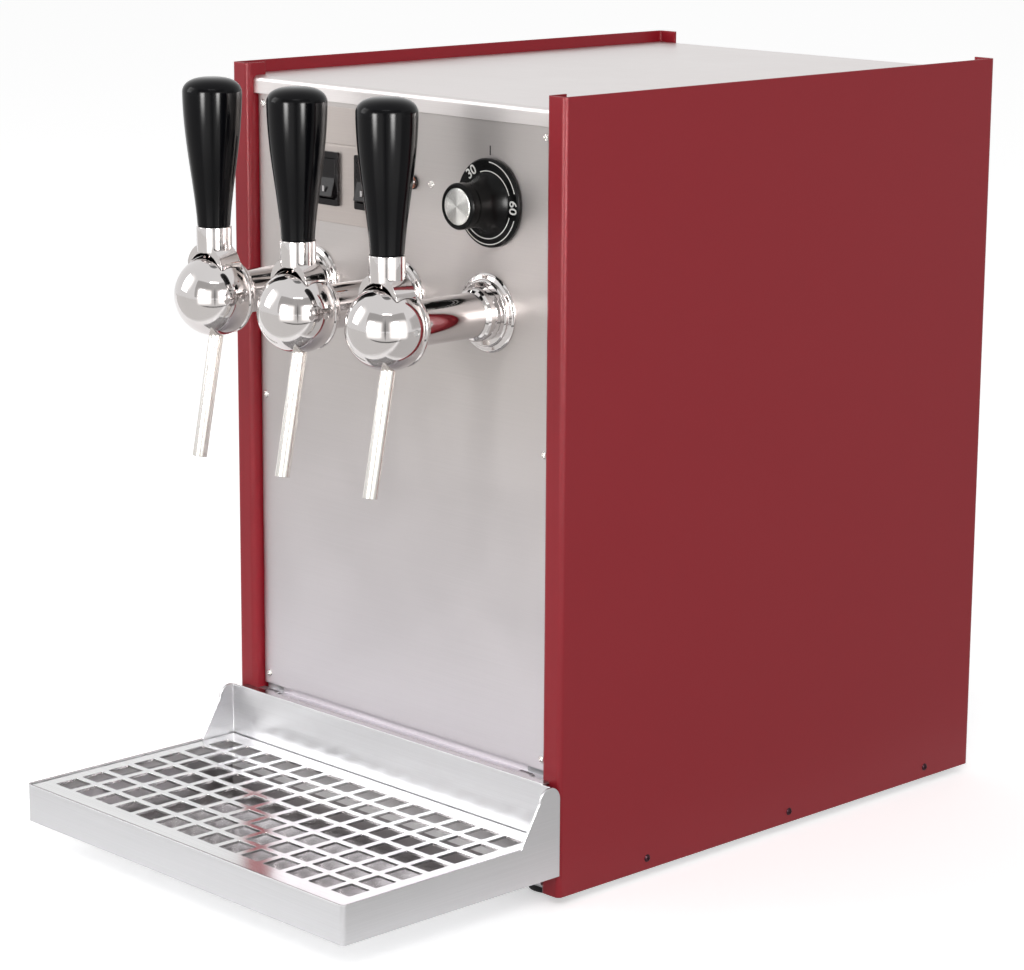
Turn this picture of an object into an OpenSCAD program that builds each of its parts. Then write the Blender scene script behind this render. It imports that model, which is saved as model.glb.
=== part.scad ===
// Countertop mulled wine dispenser with three ball taps.
// A sheet metal cabinet holds a heated water bath. Three product coils run through the bath,
// from the hose spigots at the back to the taps at the front. Sizes are in millimetres.
// Z = 0 is the floor, the front faces -Y, and the origin is under the middle of the whole object.

/* [Cabinet] */
// Height of the two side panels
panel_h = 460; // [440:5:500]
// Width over the side panels
cabinet_w = 288; // [280:2:320]
// Depth from the front flanges to the back flanges
cabinet_d = 378; // [360:2:420]
// Height of the side panels' lower edge over the floor
floor_gap = 5; // [3:1:10]
// Sheet thickness of the side panels, the base and the uprights
side_t = 1.5; // [1:0.25:2]
// Sheet thickness of the stainless covers and the tray
sheet_t = 1.2; // [0.8:0.1:1.5]
// Width of the side panels' flanges
flange_w = 15; // [13:1:20]
// Depth of the return behind each front flange
return_d = 14; // [12:1:20]
// Outer radius of the bends
bend_r = 3; // [2.5:0.5:4]
// How far the top cover lies below the upper edge of the side panels
cover_drop = 7.5; // [5:0.5:12]
// Height of the top cover's front lip
cover_lip = 10.5; // [8:0.5:14]
// Distance of the front panel behind the front flanges
front_set = 6.5; // [6:0.5:9]
// Height of the front panel's lower edge over the side panels' lower edge
front_base = 71; // [65:1:85]
// Side gap between parts that lie against each other without touching
fit = 0.3; // [0.2:0.05:0.5]

/* [Taps] */
// Distance from one tap to the next
tap_pitch = 76; // [70:1:84]
// Depth of the tap balls' middle under the side panels' upper edge
tap_drop = 127.7; // [120:0.1:140]
// Distance from the front panel's face to the middle of the balls
tap_reach = 76.3; // [72:0.1:95]
// Radius of the tap balls
ball_r = 24; // [22:0.5:26]
// Outer radius of the shank tubes
shank_r = 13; // [11:0.5:15]
// Radius of the shanks' threaded tails
thread_r = 10.5; // [9:0.25:11.5]
// Radius of the rosettes on the front panel
rosette_r = 23; // [20:0.5:28]
// Length of the black handle grips
grip_len = 86.8; // [75:0.1:100]
// Largest radius of the grips
grip_r = 17.3; // [14:0.1:20]
// Radius of the grips at their lower end
grip_neck_r = 9.6; // [9:0.1:11]
// Radius of the chrome ferrules under the grips
ferrule_r = 10.3; // [9.5:0.1:12]
// Outer radius of the spout tubes
spout_r = 4.3; // [4:0.1:6]
// Bore radius of the spout tubes
spout_bore_r = 3; // [2.5:0.1:3.3]
// Forward lean of the spouts in degrees
spout_lean = 11; // [6:0.5:14]
// Height of the spout outlets below the middle of the balls
spout_drop = 94.3; // [80:0.1:115]
// Travel of the tap levers in degrees
lever_travel = 25; // [20:1:26]

/* [Controls] */
// Sideways place of the thermostat knob
knob_x = 78.5; // [70:0.5:90]
// Depth of the knob's middle under the side panels' upper edge
knob_drop = 64.5; // [60:0.5:70]
// Radius of the knob's scale disc
disc_r = 25.3; // [22:0.1:28]
// Radius of the knob's front rim
knob_r = 13.2; // [11:0.1:15]
// How far the knob stands in front of the front panel
knob_reach = 26.5; // [22:0.5:32]
// Sideways place of the middle between the two rocker switches
switch_x = -43.5; // [-46:0.5:-40]
// Distance from one rocker switch to the other
switch_pitch = 34; // [26:1:40]
// Depth of the switches' middle under the side panels' upper edge
switch_drop = 63.5; // [60:0.5:67]
// Width of a switch frame
switch_w = 19; // [17:0.5:22]
// Height of a switch frame
switch_tall = 32; // [28:0.5:34]
// Tilt of a rocker each way from the middle in degrees
rocker_tilt = 8; // [5:1:10]
// Sideways place of the pilot lamp
lamp_x = 13; // [11:0.5:16]
// Depth of the pilot lamp's middle under the side panels' upper edge
lamp_drop = 59; // [54:0.5:65]
// Radius of the pilot lamp's bezel
lamp_r = 4.3; // [4:0.1:6]
// Width of the control plate
plate_w = 93; // [88:1:96]
// Depth of the control plate's lower edge under the side panels' upper edge
plate_drop = 90; // [86:1:94]
// Height of the control plate
plate_tall = 69; // [66:1:70]

/* [Drip tray] */
// How far the tray reaches in front of the front flanges
tray_reach = 164.5; // [140:0.5:190]
// How far the tray stands out beyond each side panel
tray_over = 1; // [0:0.5:3]
// Height of the tray's underside over the side panels' lower edge
tray_lift = 14; // [8:1:20]
// Height of the tray's front and side walls
tray_wall = 23; // [18:1:28]
// Distance from one grid hole to the next
grid_pitch = 19.5; // [17:0.25:21]
// Width of the bars between the grid holes
grid_bar = 4; // [3:0.25:5]
// Sheet thickness of the grid
grid_t = 1.5; // [1:0.25:2]
// Columns of holes in the grid
grid_cols = 14; // [12:1:14]
// Rows of holes in the grid
grid_rows = 7; // [5:1:7]

/* [Water bath] */
// Inside width of the water tank
tank_w = 210; // [200:2:220]
// Inside depth of the water tank
tank_d = 240; // [230:2:250]
// Inside height of the water tank
tank_h = 262; // [240:2:270]
// Thickness of the insulating jacket
jacket_t = 14; // [8:1:16]
// Outer radius of the product tubes
tube_r = 4; // [3:0.25:4.5]
// Radius of the coils at the middle of the tube
coil_r = 84; // [78:1:86]
// Distance from one turn of a coil to the next
coil_pitch = 13; // [11:0.5:14]
// Full turns of each coil, on top of the part turn from back to front
coil_turns = 4; // [2:1:4]
// Distance from one inlet spigot to the next
inlet_pitch = 46; // [36:1:60]
// Outer radius of the inlet spigots
spigot_r = 5; // [4:0.25:7]
// Length of the inlet spigots behind the cabinet
spigot_len = 24; // [18:1:34]

/* [Hidden] */
$fn = 64;

// Colours of the real finishes
red_paint = [0.50, 0.15, 0.19];
stainless = [0.78, 0.77, 0.75];
zinc = [0.62, 0.64, 0.66];
chrome = [0.86, 0.86, 0.88];
black_plastic = [0.07, 0.07, 0.08];
rubber = [0.10, 0.10, 0.10];
foam = [0.80, 0.76, 0.66];

// Main planes, with Y = 0 at the front flanges and Z = 0 on the floor
whole_depth = tray_reach + cabinet_d + spigot_len;
front_y = tray_reach - whole_depth / 2;
low_z = floor_gap;
top_z = low_z + panel_h;
half_w = cabinet_w / 2;
inner_x = half_w - side_t - fit;
return_x = half_w - flange_w;
front_x = return_x - fit;
cover_z = top_z - cover_drop;
panel_z = low_z + front_base;
panel_top_z = cover_z - sheet_t - fit;
back_y = cabinet_d - side_t;
behind_y = front_set + sheet_t;

// Base, sill and tray heights
pan_z = low_z + 2;
pan_top_z = pan_z + side_t;
pan_wall = 25;
ledge_z = panel_z - 3.5;
sill_y = 0.5;
hook_drop = 8;
hook_x = front_x - 14.7;
hook_w = 10;
hook_y = 2.6;

// Uprights behind the edges of the front panel
upright_in = 17;
upright_x = front_x - sheet_t - fit;

// Fasteners: shank radius, head radius and hole play
screw_r = 1.5;
head_r = 2.8;
screw_len = 9;
short_len = 7;
play = 0.1;
screw_x = front_x - 6.2;
screw_z = [panel_z + 6.5, (panel_z + 6.5 + cover_z - cover_lip - 6) / 2, cover_z - cover_lip - 6];
extra_screw = [lamp_x + 15.5, top_z - lamp_drop];
side_screw_z = low_z + 7;
side_screw_y = [0.195, 0.53, 0.88] * cabinet_d;
back_screw_x = half_w - flange_w / 2;
back_screw_z = [low_z + 20, low_z + panel_h * 0.35, low_z + panel_h * 0.65, top_z - 30];
foot_at = [half_w - 27, 19];
foot_r = 12.5;

// Tap sizes that follow from the ball
tap_y = front_set - tap_reach;
tap_z = top_z - tap_drop;
ring_y = ball_r * 0.3125;
ring_w = 3.6;
ring_r = sqrt(ball_r * ball_r - ring_y * ring_y) + 0.3;
collar_r = shank_r + 2.5;
collar_w = 7.5;
rosette_w = 4.2;
tail_len = 35;
shank_bore_r = 4.5;
socket_r = 9;
socket_len = 14;
run_gap = 0.05;
slot_play = 0.3;

// Valve in the ball: plug, its pin on the right, and the slot that the lever's tongue swings in
plug_r = ring_y - 0.9;
plug_end = ball_r * 0.62;
port_w = 8;
port_t = 2.5;
pin_r = 1.8;
tongue_r = 2;
tongue_lean = 12;
tongue_end = 3;

// Lever foot: vault over the ball with an arched front, ferrule and tang above it
foot_gap = 0.4;
foot_wall = 2;
foot_half = ball_r * 0.68;
foot_top = ball_r + 7;
arch_half = ball_r * 0.56;
arch_top = ball_r + 3.2;
foot_front = -7.5;
foot_back = ring_y - 0.5;
ferrule_top = foot_top + 9.8;
tang_r = 4;
tang_len = 34;
spout_in = [0.4, -ball_r];
spout_seat = ball_r * 0.74;

// Control sizes
knob_z = top_z - knob_drop;
switch_z = top_z - switch_drop;
lamp_z = top_z - lamp_drop;
plate_z = top_z - plate_drop;
label_t = 0.8;
frame_t = 2;
rocker_w = switch_w - 5;
rocker_l = switch_tall - 8;
spindle_r = 3;
bushing_r = 5.3;
insert_r = knob_r - 2.8;

// Water bath places
bath_y = cabinet_d / 2 + 6;
tank_t = 1.2;
jacket_z = pan_top_z;
tank_z = jacket_z + jacket_t;
rim_z = tank_z + tank_t + tank_h;
lid_t = 2;
riser_r = coil_r + 2 * tube_r + 4;
riser_step = 16;
inlet_z = tap_z;
lead_bend = 12;

// Helpers

// Moves a piece from the flange plane to its place over the origin
module placed() { translate([0, front_y, 0]) children(); }

// Turns a shape that is drawn along Z so that it runs to the back
module to_back() { rotate([-90, 0, 0]) children(); }

// Quarter ring of a bend in a sheet, round the origin in the first quadrant
module bend(r, t) {
    intersection() {
        difference() {
            circle(r);
            circle(r - t);
        }
        square(r + 1);
    }
}

// Box from one corner to the opposite one
module block(a, b) { translate(a) cube(b - a); }

// Rectangle with round corners of its own exact arcs
module round_rect(size, r) {
    translate([-size.x / 2 + r, -size.y / 2]) square([size.x - 2 * r, size.y]);
    translate([-size.x / 2, -size.y / 2 + r]) square([size.x, size.y - 2 * r]);
    for (sx = [-1, 1], sy = [-1, 1])
        translate([sx * (size.x / 2 - r), sy * (size.y / 2 - r)]) circle(r);
}

// Slot with half round ends
module slot(len, w) {
    square([len - w, w], center = true);
    for (s = [-1, 1]) translate([s * (len - w) / 2, 0]) circle(w / 2);
}

// Pan head screw with its seat at z = 0, its head above and its shank below
module pan_screw(len, r = screw_r, head = head_r) {
    tall = head * 0.5;
    dome_r = (head * head * 0.7 + tall * tall) / (2 * tall);
    translate([0, 0, -len]) cylinder(h = len, r = r);
    difference() {
        intersection() {
            cylinder(h = tall, r = head);
            translate([0, 0, tall - dome_r]) sphere(r = dome_r);
        }
        for (a = [0, 90])
            rotate(a) translate([0, 0, tall]) cube([head * 1.2, head * 0.26, tall], center = true);
    }
}

function unit(v) = v / norm(v);

// Points that follow a route with its corners rounded to a radius
function corner_arc(p, q, s, r, steps) =
    let (a = unit(q - p), b = unit(s - q), ang = acos(min(1, a * b)))
    ang < 1 ? [q] :
    let (out = cross(unit(cross(a, b)), a), c = q - a * r * tan(ang / 2) + out * r)
    [for (k = [0:steps]) c - out * r * cos(ang * k / steps) + a * r * sin(ang * k / steps)];
function rounded(p, r, steps = 4) =
    concat([p[0]], [for (i = [1:len(p) - 2]) each corner_arc(p[i - 1], p[i], p[i + 1], r, steps)],
        [p[len(p) - 1]]);

// Sideways directions along a route, each turned as little as possible from the one before
function tangents(p) =
    [for (i = [0:len(p) - 1]) unit(p[min(i + 1, len(p) - 1)] - p[max(i - 1, 0)])];
function sideways(t) =
    [for (i = 0, u = unit(cross(t[0], abs(t[0].z) < 0.9 ? [0, 0, 1] : [1, 0, 0])); i < len(t);
        i = i + 1, u = i < len(t) ? unit(u - (u * t[i]) * t[i]) : u) u];

// Round tube with closed ends along a route of points
module sweep(p, r, sides = 8) {
    t = tangents(p);
    u = sideways(t);
    n = len(p);
    ring = [for (i = [0:n - 1], k = [0:sides - 1])
        p[i] + r * (cos(360 * k / sides) * u[i] + sin(360 * k / sides) * cross(t[i], u[i]))];
    polyhedron(ring, concat(
        [[for (k = [0:sides - 1]) k]],
        [for (i = [0:n - 2], k = [0:sides - 1]) let (a = i * sides + k, b = i * sides + (k + 1) % sides)
            each [[a, a + sides, b], [b, a + sides, b + sides]]],
        [[for (k = [sides - 1:-1:0]) (n - 1) * sides + k]]));
}

// Side panels

// Outline of the left panel, seen from above: wall, front flange with its return, back flange
module side_outline() {
    translate([0, bend_r]) square([side_t, cabinet_d - 2 * bend_r]);
    translate([bend_r, bend_r]) rotate(180) bend(bend_r, side_t);
    translate([bend_r, 0]) square([flange_w - 2 * bend_r, side_t]);
    translate([flange_w - bend_r, bend_r]) rotate(270) bend(bend_r, side_t);
    translate([flange_w - side_t, bend_r]) square([side_t, return_d - bend_r]);
    translate([bend_r, cabinet_d - bend_r]) rotate(90) bend(bend_r, side_t);
    translate([bend_r, cabinet_d - side_t]) square([flange_w - bend_r, side_t]);
}
module side_panel() {
    color(red_paint) difference() {
        translate([-half_w, 0, low_z]) linear_extrude(panel_h) side_outline();
        for (y = side_screw_y)
            translate([-half_w - 1, y, side_screw_z]) rotate([0, 90, 0])
                cylinder(h = side_t + 2, r = screw_r + play);
        for (z = back_screw_z)
            translate([-back_screw_x, cabinet_d - side_t - 1, z]) to_back()
                cylinder(h = side_t + 2, r = screw_r + play);
    }
}
module left_side_panel() { placed() side_panel(); }
module right_side_panel() { placed() mirror([1, 0, 0]) side_panel(); }

// Top cover with its front lip, side flanges and back lip

cover_y = 4.4;
cover_notch = return_d + 1;
cover_side = 18;
module top_cover() {
    color(stainless) placed() {
        translate([0, 0, cover_z - sheet_t]) linear_extrude(sheet_t) {
            translate([-front_x, cover_y + bend_r]) square([2 * front_x, cover_notch]);
            translate([-inner_x, cover_notch])
                square([2 * inner_x, back_y - sheet_t - cover_notch]);
        }
        translate([-front_x, cover_y + bend_r, cover_z - bend_r]) rotate([90, 0, 90])
            linear_extrude(2 * front_x) rotate(90) bend(bend_r, sheet_t);
        block([-front_x, cover_y, cover_z - cover_lip],
            [front_x, cover_y + sheet_t, cover_z - bend_r]);
        for (s = [-1, 1])
            translate([s * (inner_x - sheet_t / 2), 0, 0])
                block([-sheet_t / 2, cover_notch, cover_z - cover_side],
                    [sheet_t / 2, back_y - 2 * sheet_t, cover_z - sheet_t]);
        block([-return_x, back_y - 2 * sheet_t, cover_z - cover_side],
            [return_x, back_y - sheet_t, cover_z - sheet_t]);
    }
}

// Front panel with its side legs and the holes for taps and controls

leg_d = 12;
module front_panel() {
    color(stainless) placed() difference() {
        translate([0, 0, panel_z]) linear_extrude(panel_top_z - panel_z) {
            translate([-front_x + bend_r, front_set]) square([2 * front_x - 2 * bend_r, sheet_t]);
            for (s = [0, 1]) mirror([s, 0]) {
                translate([-front_x + bend_r, front_set + bend_r]) rotate(180) bend(bend_r, sheet_t);
                translate([-front_x, front_set + bend_r]) square([sheet_t, leg_d - bend_r]);
            }
        }
        through_front() {
            for (i = [-1:1]) translate([i * tap_pitch, tap_z]) circle(thread_r + 4 * play);
            for (s = [-1, 1]) translate([switch_x + s * switch_pitch / 2, switch_z])
                square([switch_w - 2, switch_tall - 3], center = true);
            translate([knob_x, knob_z]) circle(bushing_r + play);
            translate([lamp_x, lamp_z]) circle(lamp_r - 0.4 + play);
            for (sx = [-1, 1], z = screw_z) translate([sx * screw_x, z]) circle(screw_r + play);
            translate(extra_screw) circle(screw_r + play);
        }
    }
}
// Cuts a flat shape, drawn as X and Z, through the front panel and what lies on it
module through_front() {
    translate([0, front_set + sheet_t + 1, 0]) rotate([90, 0, 0])
        linear_extrude(sheet_t + label_t + 2) children();
}

// Back panel with its vents and the holes for inlets, gland, drain and screws

vent_rows = 9;
vent_z = low_z + 60;
vent_step = 11;
gland_at = [-half_w + 52, low_z + 48];
gland_r = 8;
drain_at = [half_w - 60, tank_z + tank_t + 18];
drain_r = 6.5;
module back_panel() {
    color(stainless) placed() difference() {
        block([-half_w + bend_r + fit, back_y - sheet_t, pan_z],
            [half_w - bend_r - fit, back_y, cover_z - fit]);
        translate([0, back_y + 1, 0]) rotate([90, 0, 0]) linear_extrude(sheet_t + 2) {
            for (i = [-1:1]) translate([i * inlet_pitch, inlet_z]) circle(spigot_r + 2.6);
            for (k = [0:vent_rows - 1]) for (sx = [-1, 1])
                translate([sx * 24, vent_z + k * vent_step]) slot(40, 4);
            for (sx = [-1, 1], z = back_screw_z) translate([sx * back_screw_x, z])
                circle(screw_r + play);
            translate(gland_at) circle(gland_r + play);
            translate(drain_at) circle(drain_r + play);
        }
    }
}

// Base pan, open at the front, with notches round the side panels' returns

module base_pan() {
    color(zinc) placed() difference() {
        union() {
            translate([0, 0, pan_z]) linear_extrude(side_t) {
                translate([-front_x, sill_y + 2]) square([2 * front_x, cover_notch]);
                translate([-inner_x, cover_notch])
                    square([2 * inner_x, back_y - sheet_t - cover_notch]);
            }
            for (s = [-1, 1])
                translate([s * (inner_x - side_t / 2), 0, 0])
                    block([-side_t / 2, cover_notch, pan_z],
                        [side_t / 2, back_y - sheet_t, pan_z + pan_wall]);
            block([-inner_x, back_y - sheet_t - side_t, pan_z],
                [inner_x, back_y - sheet_t, pan_z + pan_wall]);
        }
        for (s = [-1, 1], y = side_screw_y)
            translate([s * inner_x, y, side_screw_z]) rotate([0, 90, 0])
                cylinder(h = 3 * side_t, r = screw_r + play, center = true);
        for (s = [-1, 1])
            translate([s * back_screw_x, back_y - sheet_t - side_t - 1, back_screw_z[0]]) to_back()
                cylinder(h = side_t + 2, r = screw_r + play);
        at_feet() translate([0, 0, pan_z - 1]) cylinder(h = side_t + 2, r = 2 + play);
    }
}
module at_feet() {
    for (sx = [-1, 1], y = [foot_at.y, cabinet_d - foot_at.y])
        translate([sx * foot_at.x, y, 0]) children();
}

// Front sill: foot on the pan, face, ledge with the tray's hook slots, tongue behind the panel

sill_foot = 22;
module sill_outline() {
    face_r = 2;
    translate([sill_y, pan_top_z + face_r]) square([sheet_t, ledge_z - pan_top_z - 2 * face_r]);
    translate([sill_y + face_r, ledge_z - face_r]) rotate(90) bend(face_r, sheet_t);
    translate([sill_y + face_r, pan_top_z + face_r]) rotate(180) bend(face_r, sheet_t);
    translate([sill_y + face_r, pan_top_z]) square([sill_foot, sheet_t]);
    translate([sill_y + face_r, ledge_z - sheet_t])
        square([behind_y - sill_y - face_r, sheet_t]);
}
module front_sill() {
    color(stainless) placed() difference() {
        union() {
            translate([-front_x, 0, 0]) rotate([90, 0, 90]) linear_extrude(2 * front_x)
                sill_outline();
            block([-upright_x + upright_in + fit, behind_y, ledge_z - sheet_t],
                [upright_x - upright_in - fit, behind_y + sheet_t, ledge_z + 18]);
        }
        for (s = [-1, 1])
            block([s * hook_x - hook_w / 2 - 1, hook_y - 0.8, ledge_z - sheet_t - 1],
                [s * hook_x + hook_w / 2 + 1, hook_y + sheet_t + 0.8, ledge_z + 1]);
        for (s = [0, 1]) mirror([s, 0, 0])
            block([upright_x - upright_in - fit, behind_y - fit, pan_z],
                [front_x + 1, behind_y + upright_d + 5, pan_top_z + sheet_t + 1]);
    }
}

// Uprights that stand on the pan behind the front panel's edges

upright_d = 26;
module upright() {
    difference() {
        translate([0, 0, pan_top_z]) linear_extrude(panel_top_z - pan_top_z) {
            translate([upright_x - upright_in, behind_y]) square([upright_in - bend_r, side_t]);
            translate([upright_x - bend_r, behind_y + bend_r]) rotate(270) bend(bend_r, side_t);
            translate([upright_x - side_t, behind_y + bend_r]) square([side_t, upright_d - bend_r]);
        }
        for (z = screw_z) translate([screw_x, behind_y - 1, z]) to_back()
            cylinder(h = side_t + 2, r = screw_r + play / 2);
    }
}
module front_uprights() {
    color(zinc) placed() for (s = [0, 1]) mirror([s, 0, 0]) upright();
}

// Feet and their screws

foot_h = pan_z;
module rubber_feet() {
    color(rubber) placed() at_feet() difference() {
        rotate_extrude() polygon([[0, 0], [foot_r - 2.5, 0], [foot_r - 0.7, 0.8], [foot_r, 2.4],
            [foot_r, foot_h - 1], [foot_r - 1, foot_h], [0, foot_h]]);
        translate([0, 0, -1]) cylinder(h = foot_h + 2, r = 2 + play);
        translate([0, 0, -1]) cylinder(h = foot_h - 2.4 + 1, r = 4.6);
    }
}
module foot_screws() {
    color(zinc) placed() at_feet() translate([0, 0, foot_h - 2.4]) rotate([180, 0, 0])
        pan_screw(2.4 + side_t + 4, 2, 3.6);
}

// Screws of the front, side and back panels

module front_screws() {
    color(chrome) placed() {
        for (sx = [-1, 1], z = screw_z) translate([sx * screw_x, front_set, z]) rotate([90, 0, 0])
            pan_screw(screw_len);
        translate([extra_screw.x, front_set, extra_screw.y]) rotate([90, 0, 0])
            pan_screw(screw_len);
    }
}
module side_screws() {
    color(black_plastic) placed() for (s = [-1, 1], y = side_screw_y)
        translate([s * half_w, y, side_screw_z]) rotate([0, s * 90, 0]) pan_screw(short_len);
}
module back_screws() {
    color(chrome) placed() for (sx = [-1, 1], z = back_screw_z)
        translate([sx * back_screw_x, cabinet_d, z]) to_back() pan_screw(short_len);
}

// Control plate with its step line, stuck to the front panel

module control_plate() {
    color([0.82, 0.80, 0.76]) placed() difference() {
        translate([switch_x, front_set, plate_z + plate_tall / 2]) rotate([90, 0, 0])
            linear_extrude(label_t) round_rect([plate_w, plate_tall], 2);
        block([switch_x - plate_w, front_set - label_t - 1, plate_z + plate_tall * 0.67],
            [switch_x + plate_w, front_set - label_t / 2, plate_z + plate_tall * 0.685]);
        through_front() for (s = [-1, 1]) translate([switch_x + s * switch_pitch / 2, switch_z])
            square([switch_w - 2, switch_tall - 3], center = true);
    }
}

// Rocker switches: frame with its body, and the rocker on a cross axis

face_y = front_set - label_t - frame_t;
pivot_y = face_y + 3.2;
switch_deep = 22;
module at_switch(s) { translate([switch_x + s * switch_pitch / 2, 0, switch_z]) children(); }
module switch_frames() {
    color(black_plastic) placed() for (s = [-1, 1]) at_switch(s) difference() {
        union() {
            translate([0, front_set - label_t, 0]) rotate([90, 0, 0]) linear_extrude(frame_t)
                round_rect([switch_w, switch_tall], 1.2);
            block([-switch_w / 2 + 1.2, front_set - label_t, -switch_tall / 2 + 1.7],
                [switch_w / 2 - 1.2, front_set + switch_deep, switch_tall / 2 - 1.7]);
        }
        block([-rocker_w / 2 - fit, face_y - 1, -rocker_l / 2 - fit],
            [rocker_w / 2 + fit, face_y + 12, rocker_l / 2 + fit]);
    }
}
// The rocker is a slice of a round bar whose front is two flat faces that meet at the axis
module rocker() {
    rise = tan(rocker_tilt) * rocker_l / 2;
    rotate([-rocker_tilt, 0, 0]) intersection() {
        translate([-rocker_w / 2, 0, 0]) rotate([0, 90, 0]) cylinder(h = rocker_w, r = rocker_l / 2);
        rotate([90, 0, 90]) translate([0, 0, -rocker_w / 2]) linear_extrude(rocker_w)
            polygon([[-3.2, 0], [-3.2 - rise, -rocker_l / 2 - 1], [5, -rocker_l / 2 - 1],
                [5, rocker_l / 2 + 1], [-3.2 - rise, rocker_l / 2 + 1]]);
    }
}
module rocker_left() { color(black_plastic) placed() at_switch(-1) translate([0, pivot_y, 0]) rocker(); }
module rocker_right() { color(black_plastic) placed() at_switch(1) translate([0, pivot_y, 0]) rocker(); }

// Pilot lamp: bezel with its body, and the amber lens

module lamp_bezel() {
    color(black_plastic) placed() translate([lamp_x, front_set, lamp_z]) difference() {
        union() {
            rotate([90, 0, 0]) cylinder(h = 1.4, r = lamp_r);
            to_back() cylinder(h = 22, r = lamp_r - 0.4);
        }
        translate([0, -3, 0]) to_back() cylinder(h = 8, r = lamp_r - 1);
    }
}
module lamp_lens() {
    color([0.62, 0.20, 0.05, 0.9]) placed() translate([lamp_x, front_set, lamp_z]) {
        translate([0, -1.4, 0]) to_back() cylinder(h = 5, r = lamp_r - 1 - run_gap);
        translate([0, -1.4, 0]) intersection() {
            rotate([90, 0, 0]) cylinder(h = 3, r = lamp_r - 1 - run_gap);
            translate([0, 2.2, 0]) sphere(r = lamp_r);
        }
    }
}

// Thermostat behind the panel, its spindle, the knob with the scale disc, and the probe

knob_gap = 0.8;
stat_len = 30;
module thermostat() {
    color(zinc) placed() translate([knob_x, behind_y, knob_z]) difference() {
        union() {
            block([-17, 2, -17], [17, stat_len, 17]);
            to_back() cylinder(h = 2, r = 9);
            translate([0, -sheet_t, 0]) to_back() cylinder(h = sheet_t + 2, r = bushing_r);
        }
        translate([0, -5, 0]) to_back() cylinder(h = 22, r = spindle_r + run_gap);
    }
}
module thermostat_spindle() {
    color(zinc) placed() translate([knob_x, front_set - knob_reach + spindle_in, knob_z])
        to_back() cylinder(h = knob_reach - spindle_in + sheet_t + 14, r = spindle_r);
}
skirt_r = 4.4;
skirt_h = 13;
disc_t = 2.6;
insert_in = 1.4;
spindle_in = 8;
module control_knob() {
    tall = knob_reach - knob_gap;
    color(black_plastic) placed() translate([knob_x, front_set - knob_gap, knob_z])
        rotate([90, 0, 0]) rotate_extrude()
            polygon(concat([[spindle_r + play / 2, 0], [disc_r - 0.6, 0], [disc_r, 0.6],
                [disc_r, disc_t - 0.8], [disc_r - 0.8, disc_t]],
                [for (k = [0:6]) let (t = k / 6)
                    [knob_r - 0.4 + skirt_r * pow(1 - t, 2.2), disc_t + skirt_h * t]],
                [[knob_r - 0.4, tall - 7], [knob_r, tall - 5.5], [knob_r, tall - 1],
                [knob_r - 0.8, tall], [insert_r + run_gap, tall],
                [insert_r + run_gap, tall - insert_in], [0, tall - insert_in],
                [0, tall - spindle_in + play], [spindle_r + play / 2, tall - spindle_in + play]]));
}
module knob_insert() {
    color(chrome) placed() translate([knob_x, front_set - knob_reach, knob_z]) rotate([90, 0, 0])
        rotate_extrude() polygon([[0, -insert_in], [insert_r, -insert_in], [insert_r, -0.2],
            [insert_r - 0.5, 0.1], [insert_r * 0.5, 0.35], [0, 0.45]]);
}
probe_at = [46, bath_y - 42];
module thermostat_probe() {
    color([0.72, 0.45, 0.25]) placed() {
        translate([probe_at.x, probe_at.y, tank_z + 80]) cylinder(h = 90, r = 3);
        sweep(rounded([[knob_x, behind_y + stat_len, knob_z],
            [knob_x, behind_y + stat_len + 18, knob_z], [probe_at.x, probe_at.y, knob_z],
            [probe_at.x, probe_at.y, tank_z + 169]], 10), 1, 6);
    }
}

// Water bath: jacket on the pan, tank in the jacket, lid on the tank's rim

module bath_box(w, d, z1, z2) { block([-w / 2, bath_y - d / 2, z1], [w / 2, bath_y + d / 2, z2]); }
module tank_jacket() {
    color(foam) placed() difference() {
        bath_box(tank_w + 2 * tank_t + 2 * fit + 2 * jacket_t,
            tank_d + 2 * tank_t + 2 * fit + 2 * jacket_t, jacket_z, rim_z - 6);
        bath_box(tank_w + 2 * tank_t + 2 * fit, tank_d + 2 * tank_t + 2 * fit, tank_z, rim_z);
        drain_bore(drain_r + 1);
    }
}
module water_tank() {
    color(stainless) placed() difference() {
        union() {
            bath_box(tank_w + 2 * tank_t, tank_d + 2 * tank_t, tank_z, rim_z - tank_t);
            bath_box(tank_w + 24, tank_d + 24, rim_z - tank_t, rim_z);
        }
        bath_box(tank_w, tank_d, tank_z + tank_t, rim_z + 1);
        drain_bore(drain_r + play);
    }
}
module drain_bore(r) {
    translate([drain_at.x, bath_y + tank_d / 2 - 1, drain_at.y]) to_back()
        cylinder(h = jacket_t + 10, r = r);
}
module tank_lid() {
    color(stainless) placed() difference() {
        bath_box(tank_w + 24, tank_d + 24, rim_z, rim_z + lid_t);
        for (i = [0:2]) {
            translate(riser(i, true, rim_z - 1)) cylinder(h = lid_t + 2, r = tube_r + 1);
            translate(riser(i, false, rim_z - 1)) cylinder(h = lid_t + 2, r = tube_r + 1);
        }
        translate([probe_at.x, probe_at.y, rim_z - 1]) cylinder(h = lid_t + 2, r = 4);
        for (s = [-1, 1]) translate([s * element_x, bath_y, rim_z - 1])
            cylinder(h = lid_t + 2, r = head_plug_r + play);
    }
}

// Immersion heating elements: a screwed head on the lid and a long hairpin below it

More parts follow.
